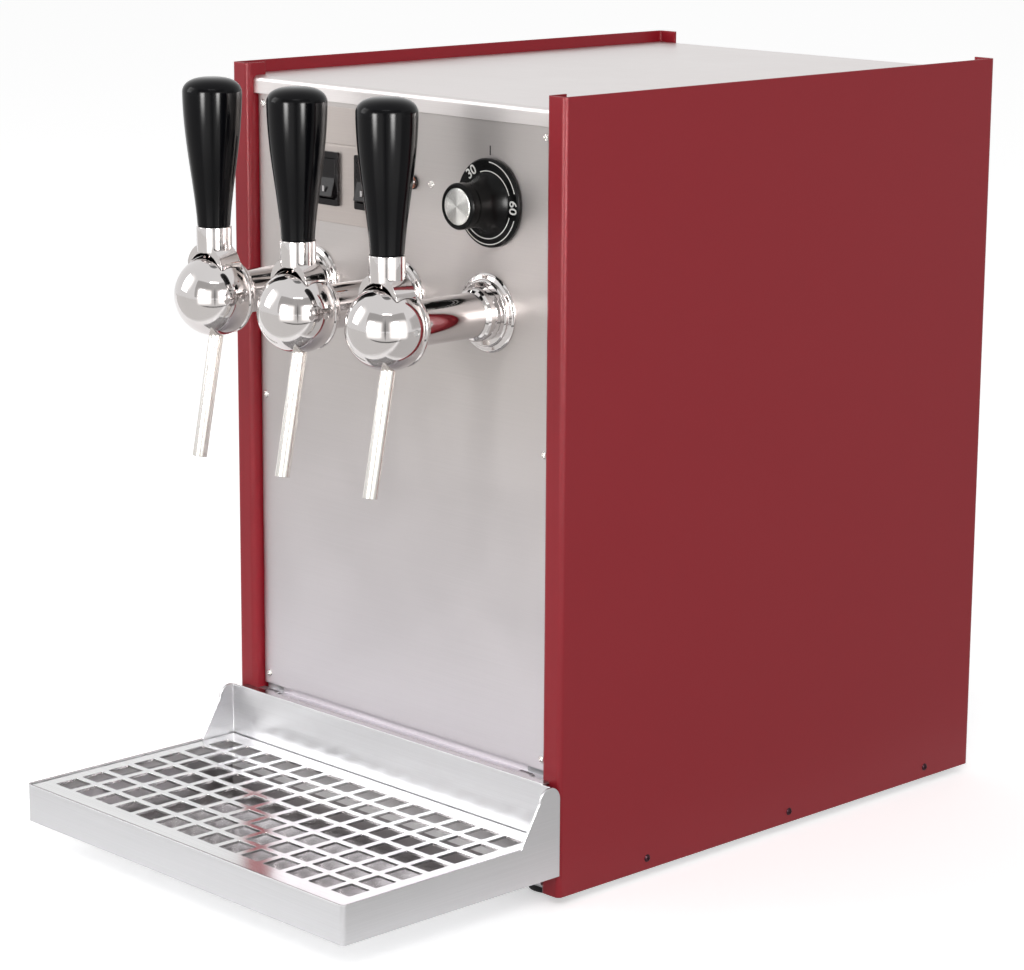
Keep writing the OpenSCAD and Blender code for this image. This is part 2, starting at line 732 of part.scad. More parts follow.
element_x = 24;
element_w = 11;
element_r = 4;
head_plug_r = 17;
hairpin_z = tank_z + 55;
module heating_elements() {
    color(zinc) placed() for (s = [-1, 1]) translate([s * element_x, bath_y, 0]) {
        translate([0, 0, rim_z - 6]) cylinder(h = lid_t + 6, r = head_plug_r);
        translate([0, 0, rim_z + lid_t]) cylinder(h = 8, r = head_plug_r + 3, $fn = 6);
        for (q = [-1, 1]) {
            translate([0, q * element_w, hairpin_z]) cylinder(h = rim_z - 6 - hairpin_z, r = element_r);
            translate([0, q * element_w, rim_z + lid_t + 8]) cylinder(h = 9, r = 2);
        }
        translate([0, 0, hairpin_z]) rotate([90, 180, 90]) rotate_extrude(angle = 180)
            translate([element_w, 0]) circle(element_r);
    }
}

// Product coils: one tube each, from the inlet spigot down into the bath, up its coil, and out
// to the tap's shank. The risers stand outside the coils, and the coils lie over each other.

coil_rise = coil_pitch * (coil_turns + 1);
function riser_angle(i, inlet) = inlet ? 90 + (i - 1) * riser_step : -90 - (i - 1) * riser_step;
function round_at(r, angle, z) = [r * cos(angle), bath_y + r * sin(angle), z];
function riser(i, inlet, z) = round_at(riser_r, riser_angle(i, inlet), z);
function eased(a, whole) = coil_r + (riser_r - coil_r) * pow(max(0, 1 - min(a, whole - a) / 40), 2);
function coil_low(i) = tank_z + 24 + i * (coil_rise + 4);
function coil_points(i) =
    let (a0 = riser_angle(i, true), whole = riser_angle(i, false) + 360 - a0 + 360 * coil_turns,
        steps = ceil(whole / 18), z0 = coil_low(i), z1 = z0 + coil_pitch * whole / 360)
    [for (k = [0:steps]) let (a = 8 + (whole - 16) * k / steps)
        round_at(eased(a, whole), a0 + a, z0 + (z1 - z0) * a / whole)];
function coil_route(i) =
    let (c = coil_points(i), n = len(c), x = (1 - i) * inlet_pitch, tx = (1 - i) * tap_pitch,
        z_in = c[0].z, z_out = c[n - 1].z)
    concat(
        rounded([[x, back_y - body_in + 2, inlet_z], [x, bath_y + riser_r + 22, inlet_z],
            riser(i, true, inlet_z), riser(i, true, z_in), c[0]], lead_bend / 2),
        [for (k = [1:n - 2]) c[k]],
        rounded([c[n - 1], riser(i, false, z_out), riser(i, false, tap_z),
            [tx, bath_y - riser_r - 18, tap_z],
            [tx, behind_y + tail_len - 12, tap_z]], lead_bend / 2));
module product_coil(i) { color(stainless) placed() sweep(coil_route(i), tube_r); }
module product_coil_1() { product_coil(2); }
module product_coil_2() { product_coil(1); }
module product_coil_3() { product_coil(0); }

// Inlet spigots: collar and nut on the back panel, hose tail behind it, tube socket inside

body_in = 8;
tube_in = 5;
nut_h = 4;
module inlet_spigots() {
    color(chrome) placed() for (i = [-1:1]) translate([i * inlet_pitch, back_y, inlet_z]) to_back()
        difference() {
            union() {
                translate([0, 0, -body_in]) cylinder(h = body_in + nut_h, r = spigot_r + 2.5);
                cylinder(h = nut_h, r = spigot_r + 5, $fn = 6);
                translate([0, 0, -sheet_t - nut_h]) cylinder(h = nut_h, r = spigot_r + 5, $fn = 6);
                cylinder(h = spigot_len + side_t, r = spigot_r);
            }
            translate([0, 0, -body_in - 1]) cylinder(h = tube_in + 1, r = tube_r + play);
            translate([0, 0, -body_in - 1]) cylinder(h = body_in + spigot_len * 2, r = spigot_r - 1.8);
        }
}

// Drain cock through the jacket and the back panel, with a cap over its end

module drain_cock() {
    color([0.75, 0.62, 0.35]) placed() translate([drain_at.x, 0, drain_at.y]) {
        tank_back = bath_y + tank_d / 2;
        translate([0, tank_back - 3, 0]) to_back()
            cylinder(h = cabinet_d + 6 - tank_back + 3, r = drain_r);
        translate([0, tank_back - 4, 0]) to_back() cylinder(h = 4 - fit, r = drain_r + 3, $fn = 6);
        translate([0, cabinet_d - side_t, 0]) to_back() cylinder(h = 4, r = drain_r + 4, $fn = 6);
        translate([0, cabinet_d + 6, 0]) to_back() cylinder(h = 8, r = drain_r + 2);
    }
}

// Cable gland, open where the mains cable would pass

cable_r = 4.5;
module cable_gland() {
    color(black_plastic) placed() translate([gland_at.x, back_y, gland_at.y]) difference() {
        union() {
            translate([0, -12, 0]) to_back() cylinder(h = 14, r = gland_r);
            translate([0, -sheet_t - 4, 0]) to_back() cylinder(h = 4, r = gland_r + 3.5, $fn = 6);
            to_back() cylinder(h = 6, r = gland_r + 3.5, $fn = 6);
            translate([0, 6, 0]) to_back() cylinder(h = 8, r1 = gland_r + 1.5, r2 = gland_r - 0.5);
        }
        translate([0, -13, 0]) to_back() cylinder(h = 30, r = cable_r);
    }
}

// Terminal block and safety cut-out, fixed inside

block_size = [60, 14, 20];
block_ways = 5;
module terminal_block() {
    step = block_size.x / block_ways;
    jacket_back = bath_y + tank_d / 2 + tank_t + fit + jacket_t;
    color([0.85, 0.84, 0.78]) placed()
        translate([gland_at.x - block_size.x * 0.37, jacket_back + 4, pan_top_z]) difference() {
            cube(block_size);
            for (k = [0:block_ways - 1])
                translate([(k + 0.5) * step, block_size.y / 2, block_size.z * 0.4])
                    cylinder(h = block_size.z, r = step * 0.21);
            for (k = [1:block_ways - 1])
                translate([k * step - step * 0.05, -1, block_size.z * 0.6])
                    cube([step * 0.1, block_size.y + 2, block_size.z]);
        }
}
module safety_cutout() {
    color([0.80, 0.78, 0.72]) placed() translate([0, bath_y - 70, rim_z + lid_t]) {
        cylinder(h = 9, r = 12);
        translate([-9, -3, 9]) cube([6, 1, 8]);
        translate([3, -3, 9]) cube([6, 1, 8]);
        translate([0, 0, 9]) cylinder(h = 2.5, r = 3);
    }
}

// Drip tray: walls and gussets folded up from one sheet, with a back that hooks on the sill

tray_x = half_w + tray_over;
tray_z = low_z + tray_lift;
wall_z = tray_z + tray_wall;
tray_top = ledge_z + sheet_t;
tray_back = -0.4;
back_face = -6;
module tray_side_outline() {
    nose = 8;
    polygon([[-31, tray_z], [-31, wall_z], [-14.5, tray_top - 4.5], [tray_back - nose, tray_top],
        [tray_back - nose, tray_z]]);
    translate([tray_back - nose, tray_z]) square([nose, tray_top - nose - tray_z]);
    translate([tray_back - nose, tray_top - nose]) circle(nose);
}
module drip_tray() {
    color(stainless) placed() {
        corner = 3;
        difference() {
            translate([0, 0, tray_z]) linear_extrude(tray_wall)
                tray_plan(0, corner, back_face + sheet_t);
            translate([0, 0, tray_z + sheet_t]) linear_extrude(tray_wall)
                tray_plan(sheet_t, corner - sheet_t, back_face + sheet_t + 1);
        }
        for (s = [-1, 1])
            translate([s * (tray_x - sheet_t / 2) - sheet_t / 2, 0, 0]) rotate([90, 0, 90])
                linear_extrude(sheet_t) tray_side_outline();
        block([-tray_x + sheet_t, back_face, tray_z + sheet_t / 2],
            [tray_x - sheet_t, back_face + sheet_t, tray_top - sheet_t / 2]);
        block([-tray_x + 9, back_face, tray_top - sheet_t],
            [tray_x - 9, tray_back, tray_top]);
        for (s = [-1, 1]) {
            block([s * hook_x - hook_w / 2, tray_back - 1, tray_top - sheet_t],
                [s * hook_x + hook_w / 2, hook_y + sheet_t, tray_top]);
            block([s * hook_x - hook_w / 2, hook_y, tray_top - sheet_t - hook_drop],
                [s * hook_x + hook_w / 2, hook_y + sheet_t, tray_top]);
        }
    }
}
module tray_plan(inset, r, back) {
    w = tray_x - inset;
    front = -tray_reach + inset;
    translate([-w + r, front]) square([2 * (w - r), back - front]);
    translate([-w, front + r]) square([2 * w, back - front - r]);
    for (s = [-1, 1]) translate([s * (w - r), front + r]) circle(r);
}

// Drip grid: a sheet with rows of square holes, standing on its front and back skirts

grid_gap = 0.9;
grid_top = wall_z - 0.7;
grid_x = tray_x - sheet_t - grid_gap;
grid_front = -tray_reach + sheet_t + grid_gap;
grid_back = back_face - grid_gap;
grid_skirt = 8;
module drip_grid() {
    hole = grid_pitch - grid_bar;
    mid = (grid_front + grid_back) / 2;
    color(stainless) placed() {
        difference() {
            block([-grid_x, grid_front, grid_top - grid_t], [grid_x, grid_back, grid_top]);
            for (i = [0:grid_cols - 1], j = [0:grid_rows - 1])
                translate([(i - (grid_cols - 1) / 2) * grid_pitch,
                    mid + (j - (grid_rows - 1) / 2) * grid_pitch, grid_top - grid_t / 2])
                    cube([hole, hole, grid_t + 2], center = true);
        }
        for (y = [grid_front, grid_back - sheet_t])
            block([-grid_x, y, tray_z + sheet_t], [grid_x, y + sheet_t, grid_top - grid_t / 2]);
        for (s = [-1, 1]) translate([s * (grid_x - sheet_t / 2), 0, 0])
            block([-sheet_t / 2, grid_front, grid_top - grid_skirt],
                [sheet_t / 2, grid_back, grid_top - grid_t / 2]);
    }
}

// Taps. Each tap is drawn round the middle of its ball, with the panel behind it at +Y.

module at_tap(i) { translate([i * tap_pitch, tap_y, tap_z]) children(); }

// Shank: ring round the ball's back, round shoulder, tube, collar and threaded tail
module tap_shank(i) {
    shoulder = asin(shank_r / ball_r);
    first = acos((ring_y + ring_w) / ball_r);
    collar_y = tap_reach - rosette_w - collar_w;
    color(chrome) placed() at_tap(i) to_back() rotate_extrude() difference() {
        polygon(concat([[0, ring_y], [ring_r - 1.2, ring_y], [ring_r, ring_y + 1.2],
            [ring_r, ring_y + ring_w - 1.2], [ring_r - 1.2, ring_y + ring_w]],
            [for (k = [0:8]) let (a = first + (shoulder - first) * k / 8)
                [ball_r * sin(a), ball_r * cos(a)]],
            [[shank_r, collar_y - 2], [collar_r - 1, collar_y - 1], [collar_r, collar_y + 0.5],
            [collar_r, collar_y + collar_w], [thread_r, collar_y + collar_w],
            [thread_r, tap_reach + sheet_t + tail_len], [0, tap_reach + sheet_t + tail_len]]));
        translate([-1, ring_y - 1]) square([1 + socket_r + run_gap, socket_len + 1 + fit]);
        translate([-1, ring_y]) square([1 + shank_bore_r, tap_reach + tail_len * 2]);
    }
}

// Ball: sphere with bores for flow, plug, pin and spout, and the slot of the lever's tongue
module tap_ball(i) {
    color(chrome) placed() at_tap(i) difference() {
        union() {
            intersection() {
                sphere(r = ball_r);
                block([-2 * ball_r, -2 * ball_r, -2 * ball_r], [2 * ball_r, ring_y, 2 * ball_r]);
            }
            translate([0, ring_y - 1, 0]) to_back() cylinder(h = socket_len + 1, r = socket_r);
        }
        to_back() port(ring_y + socket_len + 1);
        translate([plug_end + fit, 0, 0]) rotate([0, -90, 0])
            cylinder(h = 2 * ball_r, r = plug_r + run_gap);
        rotate([0, 90, 0]) cylinder(h = ball_r + 1, r = pin_r + run_gap);
        outlet() port(norm(spout_top()) + 1);
        spout_line(0) cylinder(h = ball_r, r = spout_r + run_gap);
        lever_slot();
    }
}
// Places what lies along the spout, from its upper end downwards
module spout_line(drop) {
    top = spout_top();
    translate([0, top.x, top.y]) rotate([180 - spout_lean, 0, 0]) translate([0, 0, drop]) children();
}
function spout_top() = let (d = -spout_in.y - spout_seat)
    [spout_in.x + d * tan(spout_lean), -spout_seat];
// Turns what runs along Z so that it runs from the ball's middle to the spout's upper end
module outlet() { rotate([180 + atan(spout_top().x / spout_seat), 0, 0]) children(); }
// Flat passage for the drink, along Z from the middle of the ball
module port(len) { block([-port_w / 2, -port_t / 2, -port_t / 2], [port_w / 2, port_t / 2, len]); }

// Slot from the tongue's place at rest to its place when the lever is pulled
module lever_slot() {
    r = tongue_r + slot_play;
    far = ball_r * 1.2;
    rotate([90, 0, 90]) translate([0, 0, -r]) linear_extrude(2 * r)
        polygon([beside(-tongue_lean, -r, 0), beside(-tongue_lean, -r, far),
            beside(lever_travel / 2 - tongue_lean, 0, far * 1.1),
            beside(lever_travel - tongue_lean, r, far), beside(lever_travel - tongue_lean, r, 0)]);
}
// Point, as Y and Z, beside and along a line from the ball's middle that leans forward
function beside(lean, aside, along) =
    [-aside * cos(lean) - along * sin(lean), along * cos(lean) - aside * sin(lean)];

// Plug: turns in the ball with the lever, with a flow bore that bends to the spout
module tap_plug(i) {
    color([0.80, 0.70, 0.45]) placed() at_tap(i) difference() {
        union() {
            translate([-plug_end, 0, 0]) rotate([0, 90, 0]) cylinder(h = 2 * plug_end, r = plug_r);
            rotate([0, 90, 0]) cylinder(h = ball_r - fit, r = pin_r);
        }
        rotate([-lever_travel, 0, 0]) {
            to_back() port(plug_r + 1);
            outlet() port(plug_r + 1);
        }
        rotate([-tongue_lean, 0, 0]) translate([0, 0, tongue_end - fit])
            cylinder(h = plug_r, r = tongue_r + run_gap);
    }
}

// Caps that close the plugs' bores on the left of each ball
module valve_caps() {
    color(chrome) placed() for (i = [-1:1]) at_tap(i) intersection() {
        sphere(r = ball_r);
        translate([-plug_end - fit, 0, 0]) rotate([0, -90, 0]) cylinder(h = ball_r, r = plug_r);
    }
}

// Lever: vaulted foot with an arched front over the ball, ferrule, tang in the grip, and tongue
module tap_lever(i) {
    color(chrome) placed() at_tap(i) {
        difference() {
            union() {
                intersection() {
                    vault(foot_half, foot_top, foot_front, foot_back);
                    sphere(r = foot_top + 0.4);
                    translate([-foot_half - 1, foot_front, 0])
                        cube([2 * foot_half + 2, foot_back - foot_front, foot_top + 1]);
                }
                translate([0, 0, foot_top - 5]) cylinder(h = ferrule_top - foot_top + 5, r = ferrule_r);
            }
            sphere(r = ball_r + foot_gap);
            vault(arch_half, arch_top, foot_front - 1, foot_back - foot_wall);
        }
        translate([0, 0, ferrule_top - 1]) cylinder(h = tang_len + 1, r = tang_r);
        rotate([-tongue_lean, 0, 0]) translate([0, 0, tongue_end])
            cylinder(h = ball_r + 1.6 - tongue_end, r = tongue_r);
    }
}
// Round bar along Y whose top is at a height, and which meets the ball at a half width in front
module vault(half, top, y1, y2) {
    low = sqrt(ball_r * ball_r - half * half - foot_front * foot_front);
    r = (half * half + (top - low) * (top - low)) / (2 * (top - low));
    translate([0, y1, top - r]) to_back() cylinder(h = y2 - y1, r = r);
}

// Grip: slim neck that swells to a rounded head
grip_dome = 9;
module tap_grip(i) {
    color(black_plastic) placed() at_tap(i) translate([0, 0, ferrule_top]) rotate_extrude()
        polygon(concat([[tang_r + run_gap, 0], [grip_neck_r - 0.6, 0]],
            [for (k = [0:12]) grip_edge(k / 12)],
            [for (k = [1:9]) let (a = 90 * k / 10)
                [grip_r * pow(cos(a), 0.75), grip_len - grip_dome * (1 - pow(sin(a), 0.9))]],
            [[0, grip_len], [0, tang_len + fit], [tang_r + run_gap, tang_len + fit]]));
}
function grip_edge(t) = let (s = t * t * (3 - 2 * t))
    [grip_neck_r + (grip_r - grip_neck_r) * (0.35 * t + 0.65 * s) + 0.7 * sin(180 * t),
        0.6 + (grip_len - grip_dome - 0.6) * t];

// Spout: thin straight tube, let into the ball's underside
module tap_spout(i) {
    len = (spout_drop - spout_seat) / cos(spout_lean);
    color(stainless) placed() at_tap(i) spout_line(fit) difference() {
        cylinder(h = len, r = spout_r);
        translate([0, 0, -1]) cylinder(h = len + 2, r = spout_bore_r);
    }
}

module tap_rosettes() {
    color(chrome) placed() for (i = [-1:1]) at_tap(i) to_back() rotate_extrude() {
        y0 = tap_reach - rosette_w;
        step_r = (rosette_r + collar_r) / 2;
        polygon([[thread_r + play, y0], [step_r - 0.8, y0], [step_r, y0 + 0.8],
            [step_r + 0.2, y0 + 2], [rosette_r - 1.2, y0 + 2.4], [rosette_r, y0 + 3.4],
            [rosette_r, tap_reach], [thread_r + play, tap_reach]]);
    }
}
module shank_nuts() {
    color(chrome) placed() for (i = [-1:1]) at_tap(i) translate([0, tap_reach + sheet_t, 0])
        to_back() difference() {
            union() {
                cylinder(h = 7, r = thread_r + 5.5, $fn = 6);
                translate([0, 0, tail_len - 8]) cylinder(h = 14, r = thread_r + 3.5, $fn = 6);
            }
            translate([0, 0, -1]) cylinder(h = tail_len + 1.2, r = thread_r + run_gap);
            cylinder(h = tail_len + 20, r = tube_r + play);
        }
}

module tap_shank_1() { tap_shank(-1); }
module tap_shank_2() { tap_shank(0); }
module tap_shank_3() { tap_shank(1); }
module tap_ball_1() { tap_ball(-1); }
module tap_ball_2() { tap_ball(0); }
module tap_ball_3() { tap_ball(1); }
module tap_plug_1() { tap_plug(-1); }
module tap_plug_2() { tap_plug(0); }
module tap_plug_3() { tap_plug(1); }
module tap_lever_1() { tap_lever(-1); }
module tap_lever_2() { tap_lever(0); }
module tap_lever_3() { tap_lever(1); }
module tap_grip_1() { tap_grip(-1); }
module tap_grip_2() { tap_grip(0); }
module tap_grip_3() { tap_grip(1); }
module tap_spout_1() { tap_spout(-1); }
module tap_spout_2() { tap_spout(0); }
module tap_spout_3() { tap_spout(1); }

left_side_panel();
right_side_panel();
top_cover();
front_panel();
back_panel();
base_pan();
front_sill();
front_uprights();
rubber_feet();
foot_screws();
front_screws();
side_screws();
back_screws();
control_plate();
switch_frames();
rocker_left();
rocker_right();
lamp_bezel();
lamp_lens();
thermostat();
thermostat_spindle();
control_knob();
knob_insert();
thermostat_probe();
water_tank();
tank_jacket();
tank_lid();
heating_elements();
product_coil_1();
product_coil_2();
product_coil_3();
inlet_spigots();
drain_cock();
cable_gland();
terminal_block();
safety_cutout();
drip_tray();
drip_grid();
tap_shank_1();
tap_shank_2();
tap_shank_3();
tap_ball_1();
tap_ball_2();
tap_ball_3();
tap_plug_1();
tap_plug_2();
tap_plug_3();
tap_lever_1();
tap_lever_2();
tap_lever_3();
tap_grip_1();
tap_grip_2();
tap_grip_3();
tap_spout_1();
tap_spout_2();
tap_spout_3();
tap_rosettes();
shank_nuts();
valve_caps();
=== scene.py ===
import math

import bmesh
import bpy
from mathutils import Matrix, Vector


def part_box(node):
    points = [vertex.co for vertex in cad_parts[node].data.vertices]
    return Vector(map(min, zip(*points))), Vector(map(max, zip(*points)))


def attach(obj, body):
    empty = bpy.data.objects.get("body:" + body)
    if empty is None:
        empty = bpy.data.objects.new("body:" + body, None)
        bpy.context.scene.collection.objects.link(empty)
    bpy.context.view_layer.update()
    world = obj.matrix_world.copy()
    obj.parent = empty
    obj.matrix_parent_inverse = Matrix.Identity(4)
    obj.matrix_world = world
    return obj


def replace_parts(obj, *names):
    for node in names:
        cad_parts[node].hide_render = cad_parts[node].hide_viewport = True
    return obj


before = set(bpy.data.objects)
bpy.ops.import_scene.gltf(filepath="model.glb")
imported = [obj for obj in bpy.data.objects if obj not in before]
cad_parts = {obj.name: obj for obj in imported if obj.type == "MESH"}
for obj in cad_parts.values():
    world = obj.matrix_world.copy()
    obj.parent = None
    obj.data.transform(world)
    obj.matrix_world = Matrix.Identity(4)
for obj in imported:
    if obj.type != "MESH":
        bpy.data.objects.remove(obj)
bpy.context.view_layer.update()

# Studio. The camera stands where the photograph was taken, in front of the machine's right
# corner. The floor and the surround are white paper, and the soft lamps are at a plain level.
# Sizes and places are in millimetres, from the front flanges and the side panels' lower edge.
MM = 0.001
FRONT = -118.75
FOOT_GAP = 5


def place(x, y, z):
    return Vector((x * MM, (y + FRONT) * MM, (z + FOOT_GAP) * MM))


def make_camera():
    """The camera as fitted to the photograph: its place, its angles and its focal length."""
    turn, rise, roll = (math.radians(a) for a in (46.042, 12.662, 0.346))
    focal, picture_width = 3160.6, 1024
    back = Vector((math.sin(turn) * math.cos(rise), -math.cos(turn) * math.cos(rise), math.sin(rise)))
    level = Vector((math.cos(turn), math.sin(turn), 0))
    upright = back.cross(level)
    right = level * math.cos(roll) + upright * math.sin(roll)
    up = upright * math.cos(roll) - level * math.sin(roll)
    camera = bpy.data.objects.new("camera", bpy.data.cameras.new("camera"))
    camera.data.sensor_fit = "HORIZONTAL"
    camera.data.sensor_width = 36
    camera.data.lens = focal / picture_width * camera.data.sensor_width
    camera.data.clip_start, camera.data.clip_end = 0.05, 50
    turned_to = Matrix((right, up, back)).transposed().to_4x4()
    camera.matrix_world = Matrix.Translation(place(1364.4, -1215.87, 630.91)) @ turned_to
    bpy.context.scene.collection.objects.link(camera)
    bpy.context.scene.camera = camera


def soft_lamp(name, spot, aim, size, power):
    lamp = bpy.data.lights.new(name, "AREA")
    lamp.shape, lamp.size, lamp.size_y, lamp.energy = "RECTANGLE", size[0], size[1], power
    shown = bpy.data.objects.new(name, lamp)
    shown.location = spot
    shown.rotation_euler = (Vector(aim) - Vector(spot)).to_track_quat("-Z", "Y").to_euler()
    bpy.context.scene.collection.objects.link(shown)


def add(tree, kind, inputs=(), **settings):
    """One node in a tree. An input is a value, or the output that it is linked to."""
    node = tree.nodes.new(kind)
    for key, value in settings.items():
        setattr(node, key, value)
    for socket, value in dict(inputs).items():
        if isinstance(value, bpy.types.NodeSocket):
            tree.links.new(value, node.inputs[socket])
        else:
            node.inputs[socket].default_value = value
    return node


def seen_or_mirrored(tree):
    """1 for what the camera sees directly, mirrored in metal or through glass, and otherwise 0."""
    path = add(tree, "ShaderNodeLightPath")
    found = path.outputs["Is Camera Ray"]
    for ray in ("Is Glossy Ray", "Is Transmission Ray"):
        found = add(tree, "ShaderNodeMath", {0: found, 1: path.outputs[ray]},
            operation="MAXIMUM").outputs[0]
    return found


def white_surround(level):
    world = bpy.data.worlds.new("surround")
    world.use_nodes = True
    tree = world.node_tree
    tree.nodes.clear()
    lit, shown = (add(tree, "ShaderNodeBackground", {"Color": (1, 1, 1, 1), "Strength": strength})
        for strength in (level, 1))
    mix = add(tree, "ShaderNodeMixShader",
        {0: seen_or_mirrored(tree), 1: lit.outputs[0], 2: shown.outputs[0]})
    add(tree, "ShaderNodeOutputWorld", {"Surface": mix.outputs[0]})
    bpy.context.scene.world = world


def emptied_material(name):
    made = bpy.data.materials.new(name)
    made.use_nodes = True
    made.node_tree.nodes.clear()
    return made


def sheet_of_paper(name, corners, finish):
    mesh = bpy.data.meshes.new(name)
    mesh.from_pydata(corners, [], [(0, 1, 2, 3)])
    mesh.materials.append(finish)
    shown = bpy.data.objects.new(name, mesh)
    bpy.context.scene.collection.objects.link(shown)
    return shown


def make_floor(glow):
    """White paper. What is seen of it is lifted to white where no shadow falls."""
    paper = emptied_material("studio_paper")
    tree = paper.node_tree
    level = add(tree, "ShaderNodeMath", {0: seen_or_mirrored(tree), 1: glow}, operation="MULTIPLY")
    matt = add(tree, "ShaderNodeBsdfDiffuse", {"Color": (0.9, 0.9, 0.9, 1)})
    lift = add(tree, "ShaderNodeEmission", {"Strength": level.outputs[0]})
    both = add(tree, "ShaderNodeAddShader", {0: matt.outputs[0], 1: lift.outputs[0]})
    add(tree, "ShaderNodeOutputMaterial", {"Surface": both.outputs[0]})
    reach, low = 7.0, -0.0004
    sheet_of_paper("studio_floor", [(-reach, -reach, low), (reach, -reach, low),
        (reach, reach, low), (-reach, reach, low)], paper)


def glow_card(name, corners, level, soft):
    """Even light on a card that only mirrors see, fading out over a share of its width."""
    glow = emptied_material(name)
    tree = glow.node_tree
    across = add(tree, "ShaderNodeSeparateXYZ", {0: add(tree, "ShaderNodeUVMap").outputs[0]})
    shares = []
    for axis in ("X", "Y"):
        inwards = add(tree, "ShaderNodeMath", {0: across.outputs[axis], 1: 0.5},
            operation="PINGPONG")
        shares.append(add(tree, "ShaderNodeMapRange", {0: inwards.outputs[0],
            "From Max": max(soft, 0.001)}, interpolation_type="SMOOTHSTEP").outputs[0])
    cover = add(tree, "ShaderNodeMath", dict(enumerate(shares)), operation="MULTIPLY")
    clear = add(tree, "ShaderNodeBsdfTransparent")
    even = add(tree, "ShaderNodeEmission", {"Color": (1, 0.985, 0.97, 1), "Strength": level})
    mix = add(tree, "ShaderNodeMixShader",
        {0: cover.outputs[0], 1: clear.outputs[0], 2: even.outputs[0]})
    add(tree, "ShaderNodeOutputMaterial", {"Surface": mix.outputs[0]})
    shown = sheet_of_paper(name, corners, glow)
    spread = shown.data.uv_layers.new(name="spread")
    for loop, at in zip(spread.data, ((0, 0), (1, 0), (1, 1), (0, 1))):
        loop.uv = at
    shown.visible_camera = shown.visible_diffuse = shown.visible_shadow = False


CARDS_FROM = 46
ROUND = (0, -70, 332)


def card(name, turn, rise, size, away, level, soft):
    """A card round the taps, placed by its direction in degrees: turned from the camera, and risen."""
    turn, rise = math.radians(CARDS_FROM + turn), math.radians(rise)
    out = Vector((math.sin(turn) * math.cos(rise), -math.cos(turn) * math.cos(rise), math.sin(rise)))
    side = Vector((math.cos(turn), math.sin(turn), 0)) * size[0] / 2
    up = out.cross(side).normalized() * size[1] / 2
    middle = place(*ROUND) + out * away
    glow_card(name, [middle - side - up, middle + side - up, middle + side + up,
        middle - side + up], level, soft)


make_camera()
make_floor(0.47)
white_surround(0.55)
soft_lamp("key_lamp", (1.9, -1.9, 2.1), (0, 0, 0.2), (1.3, 1.3), 30)
soft_lamp("fill_lamp", (-2.0, -1.9, 1.4), (0, 0, 0.2), (1.2, 1.6), 22)
# the dim end of the room, two lit windows on both sides of the camera with a post between them,
# a window on the left, the table's dark edge, and the dim wall on the right: each with its turn
# and rise, its width and height, how far away it stands, its level and its soft share
for shown in (
        ("wall_1", -38, 22, (1.8, 2.2), 2.6, 0.54, 0.06),
        ("wall_2", 0, 22, (1.8, 2.2), 2.6, 0.54, 0.06),
        ("wall_3", 38, 22, (1.8, 2.2), 2.6, 0.54, 0.06),
        ("window_right", 33, 3, (0.80, 0.74), 0.8, 1.9, 0.2),
        ("window_left", -29, 3, (0.74, 0.74), 0.8, 1.9, 0.2),
        ("lamp_right", 26, 8, (0.26, 0.44), 0.75, 48, 0.4),
        ("lamp_left", -37, 8, (0.30, 0.44), 0.75, 48, 0.4),
        ("window_side", -87, 27, (1.1, 1.4), 1.9, 3.0, 0.5),
        ("post", 1, 3, (0.07, 0.8), 0.7, 0.22, 0.4),
        ("table_edge", 0, -26, (1.3, 0.055), 0.7, 0.10, 0.3),
        ("wall_right", 88, 12, (1.7, 1.1), 2.0, 0.62, 0.2)):
    card(*shown)
# the room's dim floor, beside the machine and in front of it: its edges on the left, in front
# and behind, and its level
FAR, ON_FLOOR, FLOOR_SOFT = 4, 0.001, 0.02
for name, left, front, back, level in (("floor_right", 0.16, -0.34, 3.2, 0.68),
        ("floor_front", -FAR, -FAR, -0.34, 0.86)):
    glow_card(name, [Vector((x, y, ON_FLOOR)) for x, y in ((left, front), (FAR, front),
        (FAR, back), (left, back))], level, FLOOR_SOFT)
bpy.context.scene.view_settings.view_transform = "Standard"


# Side panels. Mild steel sheet, folded into a front flange with a return and a back flange, and
# powder coated dark red. The coat has a faint orange peel, and it is thinner and paler on folds.
def tone(red, green, blue):
    """A colour as it is read on a screen, 0 to 255, as the shader wants it."""
    return [c / 3294.6 if c <= 10.3 else ((c / 255 + 0.055) / 1.055) ** 2.4
        for c in (red, green, blue)] + [1]


def finish(name, colour, metallic, roughness, **more):
    """A material with one Principled shader, and its constants on the shader's own sockets."""
    made = bpy.data.materials.new(name)
    made.use_nodes = True
    shader = made.node_tree.nodes["Principled BSDF"]
    shader.inputs["Base Color"].default_value = colour
    shader.inputs["Metallic"].default_value = metallic
    shader.inputs["Roughness"].default_value = roughness
    for socket, value in more.items():
        shader.inputs[socket.replace("_", " ")].default_value = value
    return made


def new_group(name, takes, gives):
    """An empty shader group, its sockets given as pairs of name and default or kind."""
    group = bpy.data.node_groups.new(name, "ShaderNodeTree")
    for label, value in takes:
        kind = "NodeSocketFloat" if isinstance(value, (int, float)) else "NodeSocketVector"
        group.interface.new_socket(name=label, in_out="INPUT", socket_type=kind).default_value = value
    for label, kind in gives:
        group.interface.new_socket(name=label, in_out="OUTPUT", socket_type=kind)
    return group, group.nodes.new("NodeGroupInput"), group.nodes.new("NodeGroupOutput")


